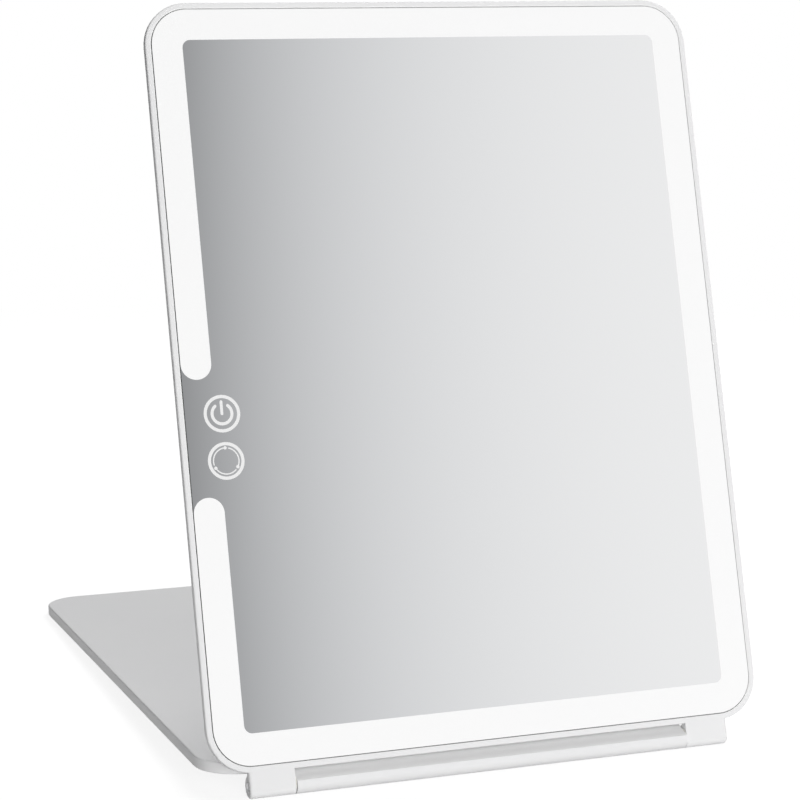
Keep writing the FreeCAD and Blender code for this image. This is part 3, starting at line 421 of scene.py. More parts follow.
def satin_abs(name, with_painted_lift=False):
    """White ABS; the second argument paints the barrel's shaded flat a lighter white, as painted light."""
    tree, place, close = new_material(name)
    grain = add(tree, "ShaderNodeTexNoise", {"Vector": place, "Scale": 1 / GRAIN_SIZE, "Detail": 3.0})
    drift = add(tree, "ShaderNodeTexNoise", {"Vector": place, "Scale": 1 / DRIFT_SIZE, "Detail": 2.0})
    tone = add(tree, "ShaderNodeMix", {MIX_SHARE: drift.outputs["Fac"], MIX_FIRST: ABS_TONE_DARK,
                                       MIX_SECOND: ABS_TONE_LIGHT}, data_type="RGBA")
    # Painted light: the flat in the panel's shade is mixed to a lighter white
    if with_painted_lift:
        height = add(tree, "ShaderNodeVectorMath", {0: place, 1: flat_normal}, operation="DOT_PRODUCT")
        level = add(tree, "ShaderNodeMath", {0: height.outputs["Value"], 1: flat_height, 2: FLAT_SPARE},
                    operation="COMPARE")
        along = add(tree, "ShaderNodeVectorMath", {0: place, 1: flat_along}, operation="DOT_PRODUCT")
        within = add(tree, "ShaderNodeMath", {0: along.outputs["Value"], 1: flat_middle, 2: flat_half},
                     operation="COMPARE")
        painted_lift_share = add(tree, "ShaderNodeMath", {0: level.outputs[0], 1: within.outputs[0]},
                        operation="MULTIPLY")
        tone = add(tree, "ShaderNodeMix",
                   {MIX_SHARE: painted_lift_share.outputs[0], MIX_FIRST: tone.outputs[MIX_COLOUR],
                    MIX_SECOND: LIFT_SHADE_WHITE}, data_type="RGBA")
    rough = add(tree, "ShaderNodeMapRange", {"Value": grain.outputs["Fac"], "To Min": GRAIN_ROUGHNESS[0],
                                             "To Max": GRAIN_ROUGHNESS[1]})
    relief = add(tree, "ShaderNodeBump", {"Height": grain.outputs["Fac"], "Strength": 1.0,
                                          "Distance": GRAIN_HEIGHT})
    return close(add(tree, "ShaderNodeBsdfPrincipled",
                     {"Base Color": tone.outputs[MIX_COLOUR], "Roughness": rough.outputs[0], "IOR": 1.53,
                      "Normal": relief.outputs[0]}))


dress(satin_abs("satin_abs"), "front_frame", "rear_cover")
# The cover's material paints the shaded flat along the barrel a lighter white: painted light
dress(satin_abs("satin_abs_cover_painted_lift", with_painted_lift=True), "cover_plate")

# %% [markdown]
# ## The pane
#
# The pane is one sheet of glass. Its back is silvered, and the silver is etched away where the light
# comes through: a band along the edge, open beside the touch signs, and the signs themselves. Separate
# flat pieces laid on the glass would flicker against it or stand proud, so the pane is one closed mesh,
# and its front is cut along every outline at once. A constrained Delaunay triangulation does that: it
# takes all the outlines, returns triangles that never cross them, and says which outlines hold each one.

# %% Outlines on the pane
PANE_CORNER = 0.0113
PANE_TRIM = 0.00015
PANE_ARRIS = 0.00008
FRONT_INSET = PANE_TRIM + PANE_ARRIS
BAND_WIDTH = 0.00935
BAND_INNER_CORNER = 0.0024
BAND_GAP_LOW = 0.0772
BAND_GAP_HIGH = 0.1113
CORNER_STEPS = 20


def arc(centre, radius, start, end, steps):
    """Points along an arc, both ends included; angles in degrees, anticlockwise when end is the larger."""
    angles = [math.radians(start + (end - start) * step / steps) for step in range(steps + 1)]
    return [Vector((centre[0] + radius * math.cos(a), centre[1] + radius * math.sin(a))) for a in angles]


def rounded_outline(inset, radius):
    """The CAD pane's outline drawn in by a distance, anticlockwise from the right end of its lower edge."""
    half, low, high = PANE_HALF - inset, inset, PANE_HEIGHT - inset
    corners = ((half - radius, low + radius, -90), (half - radius, high - radius, 0),
               (-half + radius, high - radius, 90), (-half + radius, low + radius, 180))
    points = []
    for x, y, start in corners:
        points += arc((x, y), radius, start, start + 90, CORNER_STEPS)
    return points


def band_outline():
    """The light band: round the pane from the gap's lower end to its upper end, and back inside."""
    outer = rounded_outline(FRONT_INSET, PANE_CORNER - FRONT_INSET)
    inner = rounded_outline(BAND_WIDTH, BAND_INNER_CORNER)
    radius = (BAND_WIDTH - FRONT_INSET) / 2
    middle = -PANE_HALF + FRONT_INSET + radius
    low_tip = arc((middle, BAND_GAP_LOW - radius), radius, 0, 180, CORNER_STEPS)
    high_tip = arc((middle, BAND_GAP_HIGH + radius), radius, 180, 360, CORNER_STEPS)
    # The lower left corner comes fourth in an outline, and it is the first after the gap
    lower_left = 3 * (CORNER_STEPS + 1)
    outside = outer[lower_left:] + outer[:lower_left]
    inside = inner[lower_left:] + inner[:lower_left]
    return low_tip + outside + high_tip + inside[::-1]


print("points in the band's outline", len(band_outline()))

# %% [markdown]
# ### The two touch signs
#
# The upper sign is the common stand-by sign in a ring. The lower one changes the tone of the light:
# a thin circle in three sweeps, each starting from a dot, in a ring of the same size. An image would blur
# close up, and outlines stay sharp. Each sign is a list of shapes, and each shape is an outline with the
# outlines cut out of it.

# %% Shapes that the signs are made of
CIRCLE_STEPS = 64
TIP_STEPS = 8
RING_RADIUS = 0.00545
RING_STROKE = 0.00094


def circle(x, y, radius):
    """A full circle, with no point twice."""
    return arc((x, y), radius, 0, 360, CIRCLE_STEPS)[:-1]


def ring(x, y):
    """The ring round a sign: a circle with a circle cut out of it."""
    return (circle(x, y, RING_RADIUS), [circle(x, y, RING_RADIUS - RING_STROKE)])


def stroke(x, y, radius, width, start, end):
    """An arc with thickness and round ends."""
    outside = arc((x, y), radius + width / 2, start, end, CIRCLE_STEPS)
    inside = arc((x, y), radius - width / 2, end, start, CIRCLE_STEPS)
    tips = []
    for angle, first in ((end, end), (start, start + 180)):
        turn = math.radians(angle)
        centre = (x + radius * math.cos(turn), y + radius * math.sin(turn))
        tips.append(arc(centre, width / 2, first, first + 180, TIP_STEPS)[1:-1])
    return outside + tips[0] + inside + tips[1]


def bar(x, low, high, width):
    """An upright stroke with round ends."""
    radius = width / 2
    return (arc((x, high - radius), radius, 0, 180, TIP_STEPS)
            + arc((x, low + radius), radius, 180, 360, TIP_STEPS))


# %% Outlines of the touch signs
UPWARDS = 90
SIGN_X = -0.0738
POWER_Y = 0.1011
POWER_RADIUS = 0.0034
POWER_STROKE = 0.0009
# Degrees from the top to each end of the open circle
POWER_OPENING = 40
BAR_WIDTH = 0.00085
BAR_TOP = 0.0039
BAR_FOOT = 0.00045
TONE_Y = 0.0874
TONE_RADIUS = 0.00379
TONE_STROKE = 0.00036
TONE_DOT = 0.00098
TONE_DOT_ANGLES = (90, -30, 210)
# Degrees from the end of a sweep to the next dot
TONE_GAP = 15.5

power_middle = POWER_RADIUS - POWER_STROKE / 2
power_start = UPWARDS + POWER_OPENING
power_end = UPWARDS + 360 - POWER_OPENING
sign_shapes = [
    ring(SIGN_X, POWER_Y),
    (stroke(SIGN_X, POWER_Y, power_middle, POWER_STROKE, power_start, power_end), []),
    (bar(SIGN_X, POWER_Y - BAR_FOOT, POWER_Y + BAR_TOP, BAR_WIDTH), []),
    ring(SIGN_X, TONE_Y),
]
tone_sweep = 360 / len(TONE_DOT_ANGLES) - TONE_GAP
for dot_angle in TONE_DOT_ANGLES:
    turn = math.radians(dot_angle)
    dot_x = SIGN_X + TONE_RADIUS * math.cos(turn)
    dot_y = TONE_Y + TONE_RADIUS * math.sin(turn)
    sign_shapes.append((circle(dot_x, dot_y, TONE_DOT / 2), []))
    sweep = stroke(SIGN_X, TONE_Y, TONE_RADIUS, TONE_STROKE, dot_angle, dot_angle + tone_sweep)
    sign_shapes.append((sweep, []))
print("shapes in the two signs", len(sign_shapes))

# %% [markdown]
# ### The pane's materials
#
# Silver behind clear glass reflects nearly all the light, and a trace of wiping marks varies its gloss.
# The etched band is frosted glass with lamps behind: it glows evenly, a shade under paper white, and
# would be a soft grey with the lamps off. The ground and polished edge shows the glass's own grey-green,
# and the back of the silver is covered with grey lacquer.
#
# Edge and lacquer are both two close tones, mixed by a noise. One function makes such a finish, and the
# sealant and the silicone further down use it too.

# %% Silver and lit frosting
SILVER_TONE = linear("#F5F5F5")
WIPE_SIZE = 0.012
WIPE_STRETCH = (1.0, 0.35, 0.35)
WIPE_ROUGHNESS = (0.015, 0.04)
UNLIT_GREY = linear("#9E9E9E")
# The etched grain is finer than a pixel, so its sparkle is drawn at more than half a millimetre
ETCH_SIZE = 0.0006
ETCH_SPARKLE = 0.01
BAND_GLOW = 0.582
SIGN_GLOW = 0.485


def silvered_glass():
    """Silver under glass: a clear reflection, a little softer where it was wiped."""
    tree, place, close = new_material("silvered_glass")
    stretched = add(tree, "ShaderNodeMapping", {"Vector": place, "Scale": WIPE_STRETCH})
    wipe = add(tree, "ShaderNodeTexNoise",
               {"Vector": stretched.outputs[0], "Scale": 1 / WIPE_SIZE, "Detail": 4.0})
    rough = add(tree, "ShaderNodeMapRange", {"Value": wipe.outputs["Fac"], "To Min": WIPE_ROUGHNESS[0],
                                             "To Max": WIPE_ROUGHNESS[1]})
    return close(add(tree, "ShaderNodeBsdfPrincipled",
                     {"Base Color": SILVER_TONE, "Metallic": 1.0, "Roughness": rough.outputs[0]}))


def lit_frosting(name, glow):
    """Etched glass with lamps behind it; a fine sparkle stands for the etched grain."""
    tree, place, close = new_material(name)
    etch = add(tree, "ShaderNodeTexNoise", {"Vector": place, "Scale": 1 / ETCH_SIZE, "Detail": 2.0})
    light = add(tree, "ShaderNodeMapRange",
                {"Value": etch.outputs["Fac"], "To Min": glow * (1 - ETCH_SPARKLE),
                 "To Max": glow * (1 + ETCH_SPARKLE)})
    return close(add(tree, "ShaderNodeBsdfPrincipled",
                     {"Base Color": UNLIT_GREY, "Roughness": 0.5, "IOR": 1.5,
                      "Emission Color": WHITE, "Emission Strength": light.outputs[0]}))


# %% Polished edge and lacquer
def two_toned(name, dark, light, grain_size, **finish):
    """A finish of two close tones, mixed by a noise of the grain's real size."""
    tree, place, close = new_material(name)
    grain = add(tree, "ShaderNodeTexNoise", {"Vector": place, "Scale": 1 / grain_size})
    tone = add(tree, "ShaderNodeMix", {MIX_SHARE: grain.outputs["Fac"], MIX_FIRST: linear(dark),
                                       MIX_SECOND: linear(light)}, data_type="RGBA")
    return close(add(tree, "ShaderNodeBsdfPrincipled", {"Base Color": tone.outputs[MIX_COLOUR], **finish}))


# Glass seen edge on: dark, glossy and finely streaked
polished_edge = two_toned("polished_glass_edge", "#5C5F5E", "#717473", grain_size=0.0004,
                          Roughness=0.2, IOR=1.52)
# A poured coat over the silver: softly clouded and half matt
mirror_lacquer = two_toned("grey_mirror_lacquer", "#7B7F82", "#888C8F", grain_size=0.003,
                           Roughness=0.45, IOR=1.5)
print("finishes", polished_edge.name, mirror_lacquer.name)

# %% [markdown]
# ### One closed mesh
#
# The triangulated front gets its finishes triangle by triangle, from the outlines that hold each one. Its
# rim is then carried out and back in three steps: a narrow arris, the edge, and the arris at the back. The
# last rim is filled. Carrying a rim on keeps every point shared, so the pane ends up with no open edge.

# %% Cut the front
MERGE_DISTANCE = 1e-7
SILVER, BAND, SIGN, EDGE, BACK = range(5)
BAND_LOOP = 1
TRIANGLES_INSIDE = 1


def cut_front():
    """Points and triangles of the pane's front, and the finish of each triangle."""
    loops = [rounded_outline(FRONT_INSET, PANE_CORNER - FRONT_INSET), band_outline()]
    shapes = []
    for outline, holes in sign_shapes:
        first = len(loops)
        loops += [outline, *holes]
        shapes.append((first, set(range(first + 1, len(loops)))))
    points, faces = [], []
    for loop in loops:
        faces.append(list(range(len(points), len(points) + len(loop))))
        points += loop
    found, _, triangles, _, _, held_by = delaunay_2d_cdt(points, [], faces, TRIANGLES_INSIDE, MERGE_DISTANCE)
    finishes = []
    for held in map(set, held_by):
        in_sign = any(outline in held and not holes & held for outline, holes in shapes)
        finishes.append(SIGN if in_sign else BAND if BAND_LOOP in held else SILVER)
    return found, triangles, finishes


# %% Build the pane
def outward(x, y):
    """Direction out of the pane's outline at a point on it."""
    half, corner = PANE_HALF - PANE_CORNER, PANE_CORNER
    nearest = Vector((min(max(x, -half), half), min(max(y, corner), PANE_HEIGHT - corner)))
    return (Vector((x, y)) - nearest).normalized()


def only(kind, items):
    """The vertices, edges or faces among what a bmesh operator made."""
    return [item for item in items if isinstance(item, kind)]


def make_pane():
    """The pane as one closed mesh, stood up in its place."""
    found, triangles, finishes = cut_front()
    shape = bmesh.new()
    corners = [shape.verts.new((x, y, 0)) for x, y in found]
    for triangle, finish in zip(triangles, finishes):
        face = shape.faces.new([corners[number] for number in triangle])
        face.material_index = finish
    rim = [edge for edge in shape.edges if edge.is_boundary]
    side_steps = ((PANE_ARRIS, PANE_ARRIS), (0, PANE_THICKNESS - 2 * PANE_ARRIS), (-PANE_ARRIS, PANE_ARRIS))
    for out, down in side_steps:
        grown = bmesh.ops.extrude_edge_only(shape, edges=rim)["geom"]
        for vert in only(bmesh.types.BMVert, grown):
            vert.co += (outward(vert.co.x, vert.co.y) * out).to_3d() + Vector((0, 0, -down))
        for face in only(bmesh.types.BMFace, grown):
            face.material_index = EDGE
        rim = [edge for edge in only(bmesh.types.BMEdge, grown) if edge.is_boundary]
    back = bmesh.ops.triangle_fill(shape, edges=rim, use_beauty=True)["geom"]
    for face in only(bmesh.types.BMFace, back):
        face.material_index = BACK
    bmesh.ops.recalc_face_normals(shape, faces=shape.faces)
    shape.transform(PANEL)
    open_edges = sum(not edge.is_manifold for edge in shape.edges)
    print("pane: triangles", len(shape.faces), "open edges", open_edges)
    return as_mesh("mirror_pane", shape)


pane_mesh = make_pane()
# In the order of the finishes' numbers
for finish in (silvered_glass(), lit_frosting("lit_band", BAND_GLOW), lit_frosting("lit_sign", SIGN_GLOW),
               polished_edge, mirror_lacquer):
    pane_mesh.materials.append(finish)
pane = put("mirror_pane", pane_mesh)
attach(pane, "mirror_panel")
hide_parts("mirror_glass")

# %% [markdown]
# ## The bead round the pane
#
# The pane is set in the frame with a bead of white sealant, which is drawn down towards the glass. Without
# it the gap would be a deep black slot. With it the eye gets a fine grey line, darkest against the glass.
# A bevelled curve could make it, but the pane's own outline at every point of a closed profile keeps the
# gap true round the corners.

# %% Sealant bead
GAP_WIDTH = 0.0003
BEAD_SLOPE = 0.00022
BEAD_TOP = 0.00004
BEAD_FOOT = 0.00053
BEAD_BOTTOM = 0.0011
SMOOTH_ANGLE = math.radians(40)


def smooth(mesh):
    """Shade a mesh smooth, with its steep edges left sharp."""
    mesh.shade_smooth()
    mesh.set_sharp_from_angle(angle=SMOOTH_ANGLE)


def swept_ring(name, profile):
    """A closed profile of (distance out of the CAD pane's outline, height), carried round the pane."""
    shape = bmesh.new()
    rings = []
    for out, height in profile:
        rings.append([shape.verts.new((x, y, height)) for x, y in rounded_outline(-out, PANE_CORNER + out)])
    for ring_a, ring_b in zip(rings, rings[1:] + rings[:1]):
        for a, b, c, d in zip(ring_a, ring_a[1:] + ring_a[:1], ring_b[1:] + ring_b[:1], ring_b):
            shape.faces.new((a, b, c, d))
    bmesh.ops.recalc_face_normals(shape, faces=shape.faces)
    shape.transform(PANEL)
    mesh = as_mesh(name, shape)
    smooth(mesh)
    print(name, "faces", len(mesh.polygons))
    return mesh


bead_profile = [(GAP_WIDTH, -BEAD_TOP), (GAP_WIDTH - BEAD_SLOPE, -2 * BEAD_TOP), (-PANE_TRIM, -BEAD_FOOT),
                (-PANE_TRIM, -BEAD_BOTTOM), (GAP_WIDTH, -BEAD_BOTTOM)]
bead_mesh = swept_ring("pane_seal", bead_profile)
# Cured sealant: white, smoother than the moulded frame, and wavy from the nozzle
bead_mesh.materials.append(two_toned("cured_sealant", "#EEEEEE", "#F6F6F6", grain_size=0.0015,
                                     Roughness=0.45, IOR=1.41))
bead = put("pane_seal", bead_mesh)
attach(bead, "mirror_panel")

# %% [markdown]
# ## Four soft bumpers
#
# Silicone pads, pressed into pockets of the cover, keep it off the glass when it is shut, and the far pair
# are the feet that it stands on here. They are all alike, so one pad is turned on a lathe, with the rounded
# lip that a moulded pad has, and Geometry Nodes puts a copy at each place. The places and the size come
# from the CAD pads.

# %% Measure the pads
cover_down = min(nodes["far_bumpers"].data.polygons, key=lambda p: p.normal.z).normal.copy()
pad_places = []
for node_name in ("far_bumpers", "near_bumpers"):
    points = [vertex.co for vertex in nodes[node_name].data.vertices]
    for side in (-1, 1):
        pad = [point for point in points if point.x * side > 0]
        pad_places.append(sum(pad, Vector()) / len(pad))
# The last pad gives the size of all four
pad_depths = [point.dot(cover_down) for point in pad]
PAD_HEIGHT = max(pad_depths) - min(pad_depths)
PAD_RADIUS = (max(point.x for point in pad) - min(point.x for point in pad)) / 2
print("pads", len(pad_places), "radius", round(PAD_RADIUS, 5), "height", round(PAD_HEIGHT, 5))

# %% One pad, turned
PAD_LIP = 0.0002
PAD_STEPS = 48
LIP_STEPS = 6


def turned(name, profile, steps):
    """A profile of (radius, height) points, both ends on the axis, turned into a closed mesh."""
    shape = bmesh.new()
    line = [shape.verts.new((radius, 0, height)) for radius, height in profile]
    edges = [shape.edges.new(pair) for pair in zip(line, line[1:])]
    bmesh.ops.spin(shape, geom=line + edges, axis=(0, 0, 1), cent=(0, 0, 0), angle=math.tau, steps=steps)
    bmesh.ops.remove_doubles(shape, verts=shape.verts, dist=MERGE_DISTANCE)
    bmesh.ops.recalc_face_normals(shape, faces=shape.faces)
    mesh = as_mesh(name, shape)
    smooth(mesh)
    print(name, "faces", len(mesh.polygons))
    return mesh


lip = arc((PAD_RADIUS - PAD_LIP, PAD_HEIGHT / 2 - PAD_LIP), PAD_LIP, 0, 90, LIP_STEPS)
pad_profile = [(0, -PAD_HEIGHT / 2), (PAD_RADIUS, -PAD_HEIGHT / 2), *lip, (0, PAD_HEIGHT / 2)]
pad_mesh = turned("pad", pad_profile, PAD_STEPS)

# %% [markdown]
# A tree that repeats a piece is short: an instance on every point, made real, and given its material.
# Then the result is made a plain mesh, because what the object keeps is geometry. Three helpers do what
# is alike in every such tree.

# %% Helpers for Geometry Nodes
def new_tree(name, sockets):
    """A Geometry Nodes tree with named inputs, and the sockets that bring them in."""
    tree = bpy.data.node_groups.new(name, "GeometryNodeTree")
    for socket_name, kind in {"Geometry": "NodeSocketGeometry", **sockets}.items():
        tree.interface.new_socket(name=socket_name, in_out="INPUT", socket_type=kind)
    tree.interface.new_socket(name="Geometry", in_out="OUTPUT", socket_type="NodeSocketGeometry")
    return tree, add(tree, "NodeGroupInput").outputs


def close_tree(tree, geometry, material):
    """End a tree as every tree here ends: real geometry with a material."""
    real = add(tree, "GeometryNodeRealizeInstances", {"Geometry": geometry})
    painted = add(tree, "GeometryNodeSetMaterial", {"Geometry": real.outputs[0], "Material": material})
    add(tree, "NodeGroupOutput", {"Geometry": painted.outputs[0]})


def grow(name, points, tree, values):
    """Run a tree on a few points, with values for its named inputs, and keep the result as a mesh."""
    seed_mesh = bpy.data.meshes.new(name)
    seed_mesh.from_pydata(points, [], [])
    seed = put(name, seed_mesh)
    modifier = seed.modifiers.new(name, "NODES")
    modifier.node_group = tree
    for item in tree.interface.items_tree:
        if item.in_out == "INPUT" and item.name in values:
            modifier[item.identifier] = values[item.name]
    evaluated = seed.evaluated_get(bpy.context.evaluated_depsgraph_get())
    mesh = bpy.data.meshes.new_from_object(evaluated)
    bpy.data.objects.remove(seed)
    mesh.name = name
    print(name, "faces", len(mesh.polygons))
    return mesh


# %% Bumpers with Geometry Nodes
# Moulded translucent silicone: milky, soft-edged, and a little light inside
silicone = two_toned("moulded_silicone", "#D2D4D3", "#E2E3E2", grain_size=0.002,
                     **{"Roughness": 0.55, "IOR": 1.41, "Subsurface Weight": 0.3,
                        "Subsurface Radius": (1.0, 1.0, 1.0), "Subsurface Scale": 0.0008})

pad_tree, pad_inputs = new_tree("bumper_pads", {"Pad": "NodeSocketObject", "Turn": "NodeSocketRotation",
                                                "Material": "NodeSocketMaterial"})
pad_source = add(pad_tree, "GeometryNodeObjectInfo", {"Object": pad_inputs["Pad"], "As Instance": True})
pads_placed = add(pad_tree, "GeometryNodeInstanceOnPoints",
                  {"Points": pad_inputs["Geometry"], "Instance": pad_source.outputs["Geometry"],
                   "Rotation": pad_inputs["Turn"]})
close_tree(pad_tree, pads_placed.outputs[0], pad_inputs["Material"])

pad_object = bpy.data.objects.new("pad", pad_mesh)
pad_turn = cover_down.to_track_quat("Z", "Y").to_euler()
pads_mesh = grow("bumper_pads", pad_places, pad_tree,
                 {"Pad": pad_object, "Turn": pad_turn, "Material": silicone})
bpy.data.objects.remove(pad_object)
pads = put("bumper_pads", pads_mesh)
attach(pads, "cover")
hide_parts("far_bumpers", "near_bumpers")

# %% [markdown]
# ## Contacts of the charging socket
#
# The socket in the panel's right side has a black tongue with a row of gilt contacts on each face. They are
# half a millimetre apart and alike, so a line of points carries one small block, and a second copy of the
# row lies on the other face. They are drawn along the tongue and then turned with the panel.

# %% Gold flash
GILT_DARK = linear("#C99A45")
GILT_LIGHT = linear("#E8C272")
STREAK_SIZE = 0.00015
STREAK_STRETCH = (0.1, 1.0, 1.0)


def gold_flash():
    """Gold flash on copper: warm, with fine streaks from the rolled strip that it is cut from."""
    tree, place, close = new_material("gold_flash")
    rolled = add(tree, "ShaderNodeMapping", {"Vector": place, "Scale": STREAK_STRETCH})
    streak = add(tree, "ShaderNodeTexNoise", {"Vector": rolled.outputs[0], "Scale": 1 / STREAK_SIZE})
    tone = add(tree, "ShaderNodeMix", {MIX_SHARE: streak.outputs["Fac"], MIX_FIRST: GILT_DARK,
                                       MIX_SECOND: GILT_LIGHT}, data_type="RGBA")
    return close(add(tree, "ShaderNodeBsdfPrincipled",
                     {"Base Color": tone.outputs[MIX_COLOUR], "Metallic": 1.0, "Roughness": 0.28}))


# %% Contacts with Geometry Nodes
CONTACT_COUNT = 12
CONTACT_PITCH = 0.0005
CONTACT_LENGTH = 0.0036
CONTACT_WIDTH = 0.00026
CONTACT_THICKNESS = 0.00004
CONTACT_FROM_TIP = 0.0004
TONGUE_THICKNESS = 0.0007

row_tree, row_inputs = new_tree("socket_contacts", {
    "Count": "NodeSocketInt", "Step": "NodeSocketVector", "Block": "NodeSocketVector",
    "Face": "NodeSocketVector", "Material": "NodeSocketMaterial"})
row = add(row_tree, "GeometryNodeMeshLine", {"Count": row_inputs["Count"], "Offset": row_inputs["Step"]})
block = add(row_tree, "GeometryNodeMeshCube", {"Size": row_inputs["Block"]})
upper = add(row_tree, "GeometryNodeInstanceOnPoints",
            {"Points": row.outputs[0], "Instance": block.outputs[0]})
lower = add(row_tree, "GeometryNodeTransform",
            {"Geometry": upper.outputs[0], "Translation": row_inputs["Face"]})
both = add(row_tree, "GeometryNodeJoinGeometry", {"Geometry": upper.outputs[0]})
row_tree.links.new(lower.outputs[0], both.inputs["Geometry"])
close_tree(row_tree, both.outputs[0], row_inputs["Material"])

contacts_mesh = grow("socket_contacts", [(0, 0, 0)], row_tree, {
    "Count": CONTACT_COUNT, "Step": (0, CONTACT_PITCH, 0),
    "Block": (CONTACT_LENGTH, CONTACT_WIDTH, CONTACT_THICKNESS), "Face": (0, 0, -TONGUE_THICKNESS),
    "Material": gold_flash()})
tongue_low, tongue_high = map(Vector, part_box("socket_tongue"))
first_contact = (tongue_low + tongue_high) / 2
first_contact.x = tongue_high.x - CONTACT_FROM_TIP - CONTACT_LENGTH / 2
first_contact += facing * TONGUE_THICKNESS / 2 - up * CONTACT_PITCH * (CONTACT_COUNT - 1) / 2
contacts_mesh.transform(Matrix.Translation(first_contact) @ PANEL.to_3x3().to_4x4())
contacts = put("socket_contacts", contacts_mesh)
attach(contacts, "mirror_panel")

# %% [markdown]
# ## Metals
#
# Small metal parts differ by how they were worked. A ground pin has fine rings round it, drawn sheet has
# long lines, and plating is smooth with a slow bloom. One function makes them all: a noise stretched along
# the direction of the working, which changes both tone and gloss.

# %% Worked metals
def worked_metal(name, dark, light, roughness, line_size, stretch=(1.0, 1.0, 1.0)):
    """Metal with working marks of a real width, drawn out along an axis whose share in stretch is small."""
    tree, place, close = new_material(name)
    along = add(tree, "ShaderNodeMapping", {"Vector": place, "Scale": stretch})
    marks = add(tree, "ShaderNodeTexNoise",
                {"Vector": along.outputs[0], "Scale": 1 / line_size, "Detail": 4.0})
    tone = add(tree, "ShaderNodeMix", {MIX_SHARE: marks.outputs["Fac"], MIX_FIRST: linear(dark),
                                       MIX_SECOND: linear(light)}, data_type="RGBA")
    rough = add(tree, "ShaderNodeMapRange",
                {"Value": marks.outputs["Fac"], "To Min": roughness[0], "To Max": roughness[1]})
    return close(add(tree, "ShaderNodeBsdfPrincipled",
                     {"Base Color": tone.outputs[MIX_COLOUR], "Metallic": 1.0,
                      "Roughness": rough.outputs[0]}))


# Fine rings round a ground pin: the noise hardly changes except along x
dress(worked_metal("ground_steel", "#B4B5B7", "#D2D3D5", roughness=(0.22, 0.34), line_size=0.0003,
                   stretch=(1.0, 0.05, 0.05)),
      "hinge_pin_left", "hinge_pin_right", "strip_pins")
# Lines along the draw, out of the socket's mouth
dress(worked_metal("drawn_stainless", "#B9BABC", "#D8D9DB", roughness=(0.18, 0.3), line_size=0.0003,
                   stretch=(0.08, 1.0, 1.0)),
      "socket_shell")
# Zinc has a bluish bloom, nickel a warm and smoother one
dress(worked_metal("zinc_plate", "#B3B8BE", "#CDD1D6", roughness=(0.25, 0.4), line_size=0.0015),
      "board_screws")
dress(worked_metal("nickel_plate", "#C6C3BC", "#DAD7D0", roughness=(0.1, 0.2), line_size=0.003),
      "panel_magnets", "cover_magnets")
# Copper shows through its thin clear coat, reddish and slightly blotched
dress(worked_metal("lacquered_copper", "#B5704A", "#D79468", roughness=(0.2, 0.35), line_size=0.001),
      "power_touch_pad", "tone_touch_pad", "strip_jumpers")
# A pouch cell's foil has the soft wrinkles of a vacuum pack
dress(worked_metal("laminated_foil", "#BFC2C6", "#DEE0E3", roughness=(0.25, 0.45), line_size=0.004,
                   stretch=(1.0, 0.6, 0.6)),
      "battery_cell")

# %% [markdown]
# ## Plastics and lacquers inside
#
# The rest is opaque and not metal: moulded acetal in the hinge, opal sheet behind the band, lacquered
# boards, moulded components. Each is two close tones mixed by a noise of the real grain, with the same noise
# as a shallow relief.

# %% Opaque finishes
def opaque(name, dark, light, roughness, grain_size, relief):
    """A moulded or lacquered surface; relief is the height of its grain."""
    tree, place, close = new_material(name)
    grain = add(tree, "ShaderNodeTexNoise", {"Vector": place, "Scale": 1 / grain_size, "Detail": 3.0})
    tone = add(tree, "ShaderNodeMix", {MIX_SHARE: grain.outputs["Fac"], MIX_FIRST: linear(dark),
                                       MIX_SECOND: linear(light)}, data_type="RGBA")
    bumps = add(tree, "ShaderNodeBump", {"Height": grain.outputs["Fac"], "Distance": relief})
    return close(add(tree, "ShaderNodeBsdfPrincipled",
                     {"Base Color": tone.outputs[MIX_COLOUR], "Roughness": roughness,
                      "Normal": bumps.outputs[0]}))


# Acetal: ivory, and slippery to look at
dress(opaque("moulded_acetal", "#E6E4DC", "#F0EEE7", roughness=0.32, grain_size=0.0008, relief=0.000002),
      "friction_sleeve_left", "friction_sleeve_right", "thrust_washer_left", "thrust_washer_right")
# Opal sheet: nearly white, even, with a soft gloss
dress(opaque("opal_sheet", "#EDEDEA", "#F6F6F4", roughness=0.3, grain_size=0.002, relief=0.000002),
      "light_diffuser")
# Board lacquers: glossy over the faint weave of the board, white beside the lamps and green elsewhere
dress(opaque("white_board_lacquer", "#E3E3DD", "#F0F0EB", roughness=0.35, grain_size=0.0006, relief=0.000004),
      "led_strip_top", "led_strip_right", "led_strip_bottom", "led_strip_left_upper", "led_strip_left_lower",
      "touch_ribbon")
dress(opaque("green_board_lacquer", "#1C5F40", "#2A7450", roughness=0.3, grain_size=0.0005, relief=0.000004),
      "main_board", "touch_board")
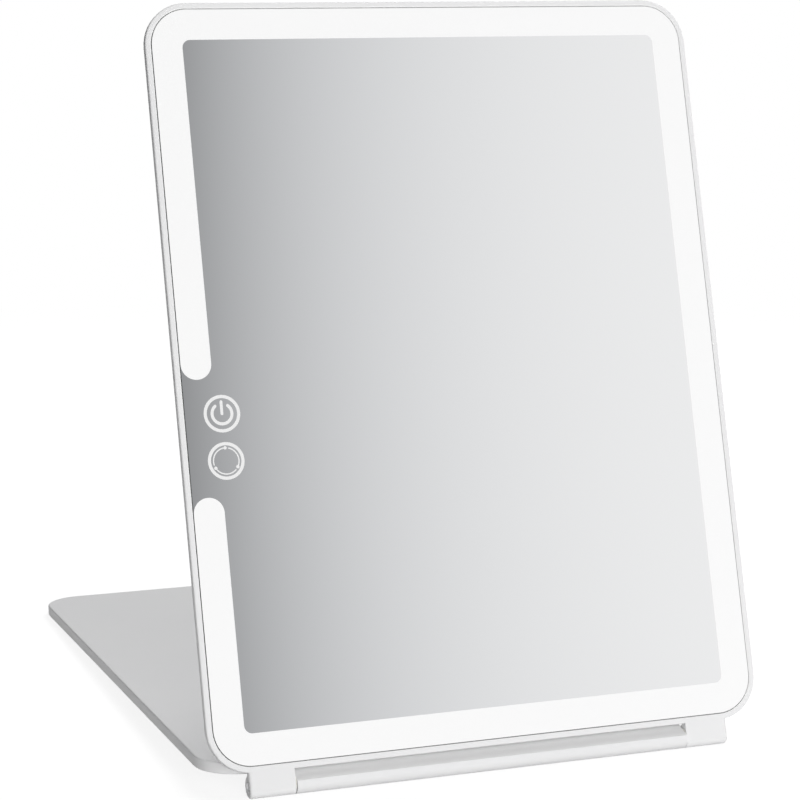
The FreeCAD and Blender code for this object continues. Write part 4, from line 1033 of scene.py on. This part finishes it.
# Phosphor in clear resin: yellow and finely speckled
dress(opaque("phosphor_resin", "#E9D98A", "#F6EAB0", roughness=0.4, grain_size=0.0002, relief=0.000002),
      "led_chips")
# Black mouldings: matt and gritty on the components, smoother in the socket
dress(opaque("black_epoxy", "#17181A", "#26272A", roughness=0.55, grain_size=0.0002, relief=0.000006),
      "board_parts")
dress(opaque("black_socket_moulding", "#101112", "#1B1C1D", roughness=0.4, grain_size=0.0002,
             relief=0.000003),
      "socket_tongue")
# Wire sheath: red, with the low shine of drawn plastic
dress(opaque("red_wire_sheath", "#8E1712", "#A5221B", roughness=0.35, grain_size=0.0008, relief=0.000002),
      "battery_leads")

# %% [markdown]
# ## Clear plastics
#
# The light pipe beside the socket is a rod of clear acrylic, and the adhesive tapes are clear too. Light
# goes through them, and a little waviness in the gloss shows that they were moulded or cast.

# %% Clear finishes
def clear(name, tint, roughness, wave_size, ior):
    """A clear plastic whose gloss wavers over a real distance."""
    tree, place, close = new_material(name)
    wave = add(tree, "ShaderNodeTexNoise", {"Vector": place, "Scale": 1 / wave_size})
    rough = add(tree, "ShaderNodeMapRange",
                {"Value": wave.outputs["Fac"], "To Min": roughness[0], "To Max": roughness[1]})
    return close(add(tree, "ShaderNodeBsdfPrincipled",
                     {"Base Color": linear(tint), "Roughness": rough.outputs[0], "IOR": ior,
                      "Transmission Weight": 1.0}))


# A moulded rod: bright, and clear right through
dress(clear("clear_acrylic", "#F4F7F7", roughness=(0.05, 0.15), wave_size=0.001, ior=1.49),
      "charge_light_pipe")
# A cast film of adhesive: clear too, with a duller skin
dress(clear("acrylic_adhesive", "#F6F6F3", roughness=(0.2, 0.4), wave_size=0.002, ior=1.47),
      "glass_tape", "battery_tape")

# %% [markdown]
# ## Size and finish
#
# Looks must not make the object larger. The CAD model's box was measured right after loading, and the
# finished object's box is measured now. Both are kept in one dictionary, and the finished box is printed.

# %% Size and finish
size = {"cad_box": [list(corner) for corner in cad_box],
        "visual_box": [list(corner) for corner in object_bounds()]}
print("finished box", [[round(v, 4) for v in corner] for corner in size["visual_box"]])
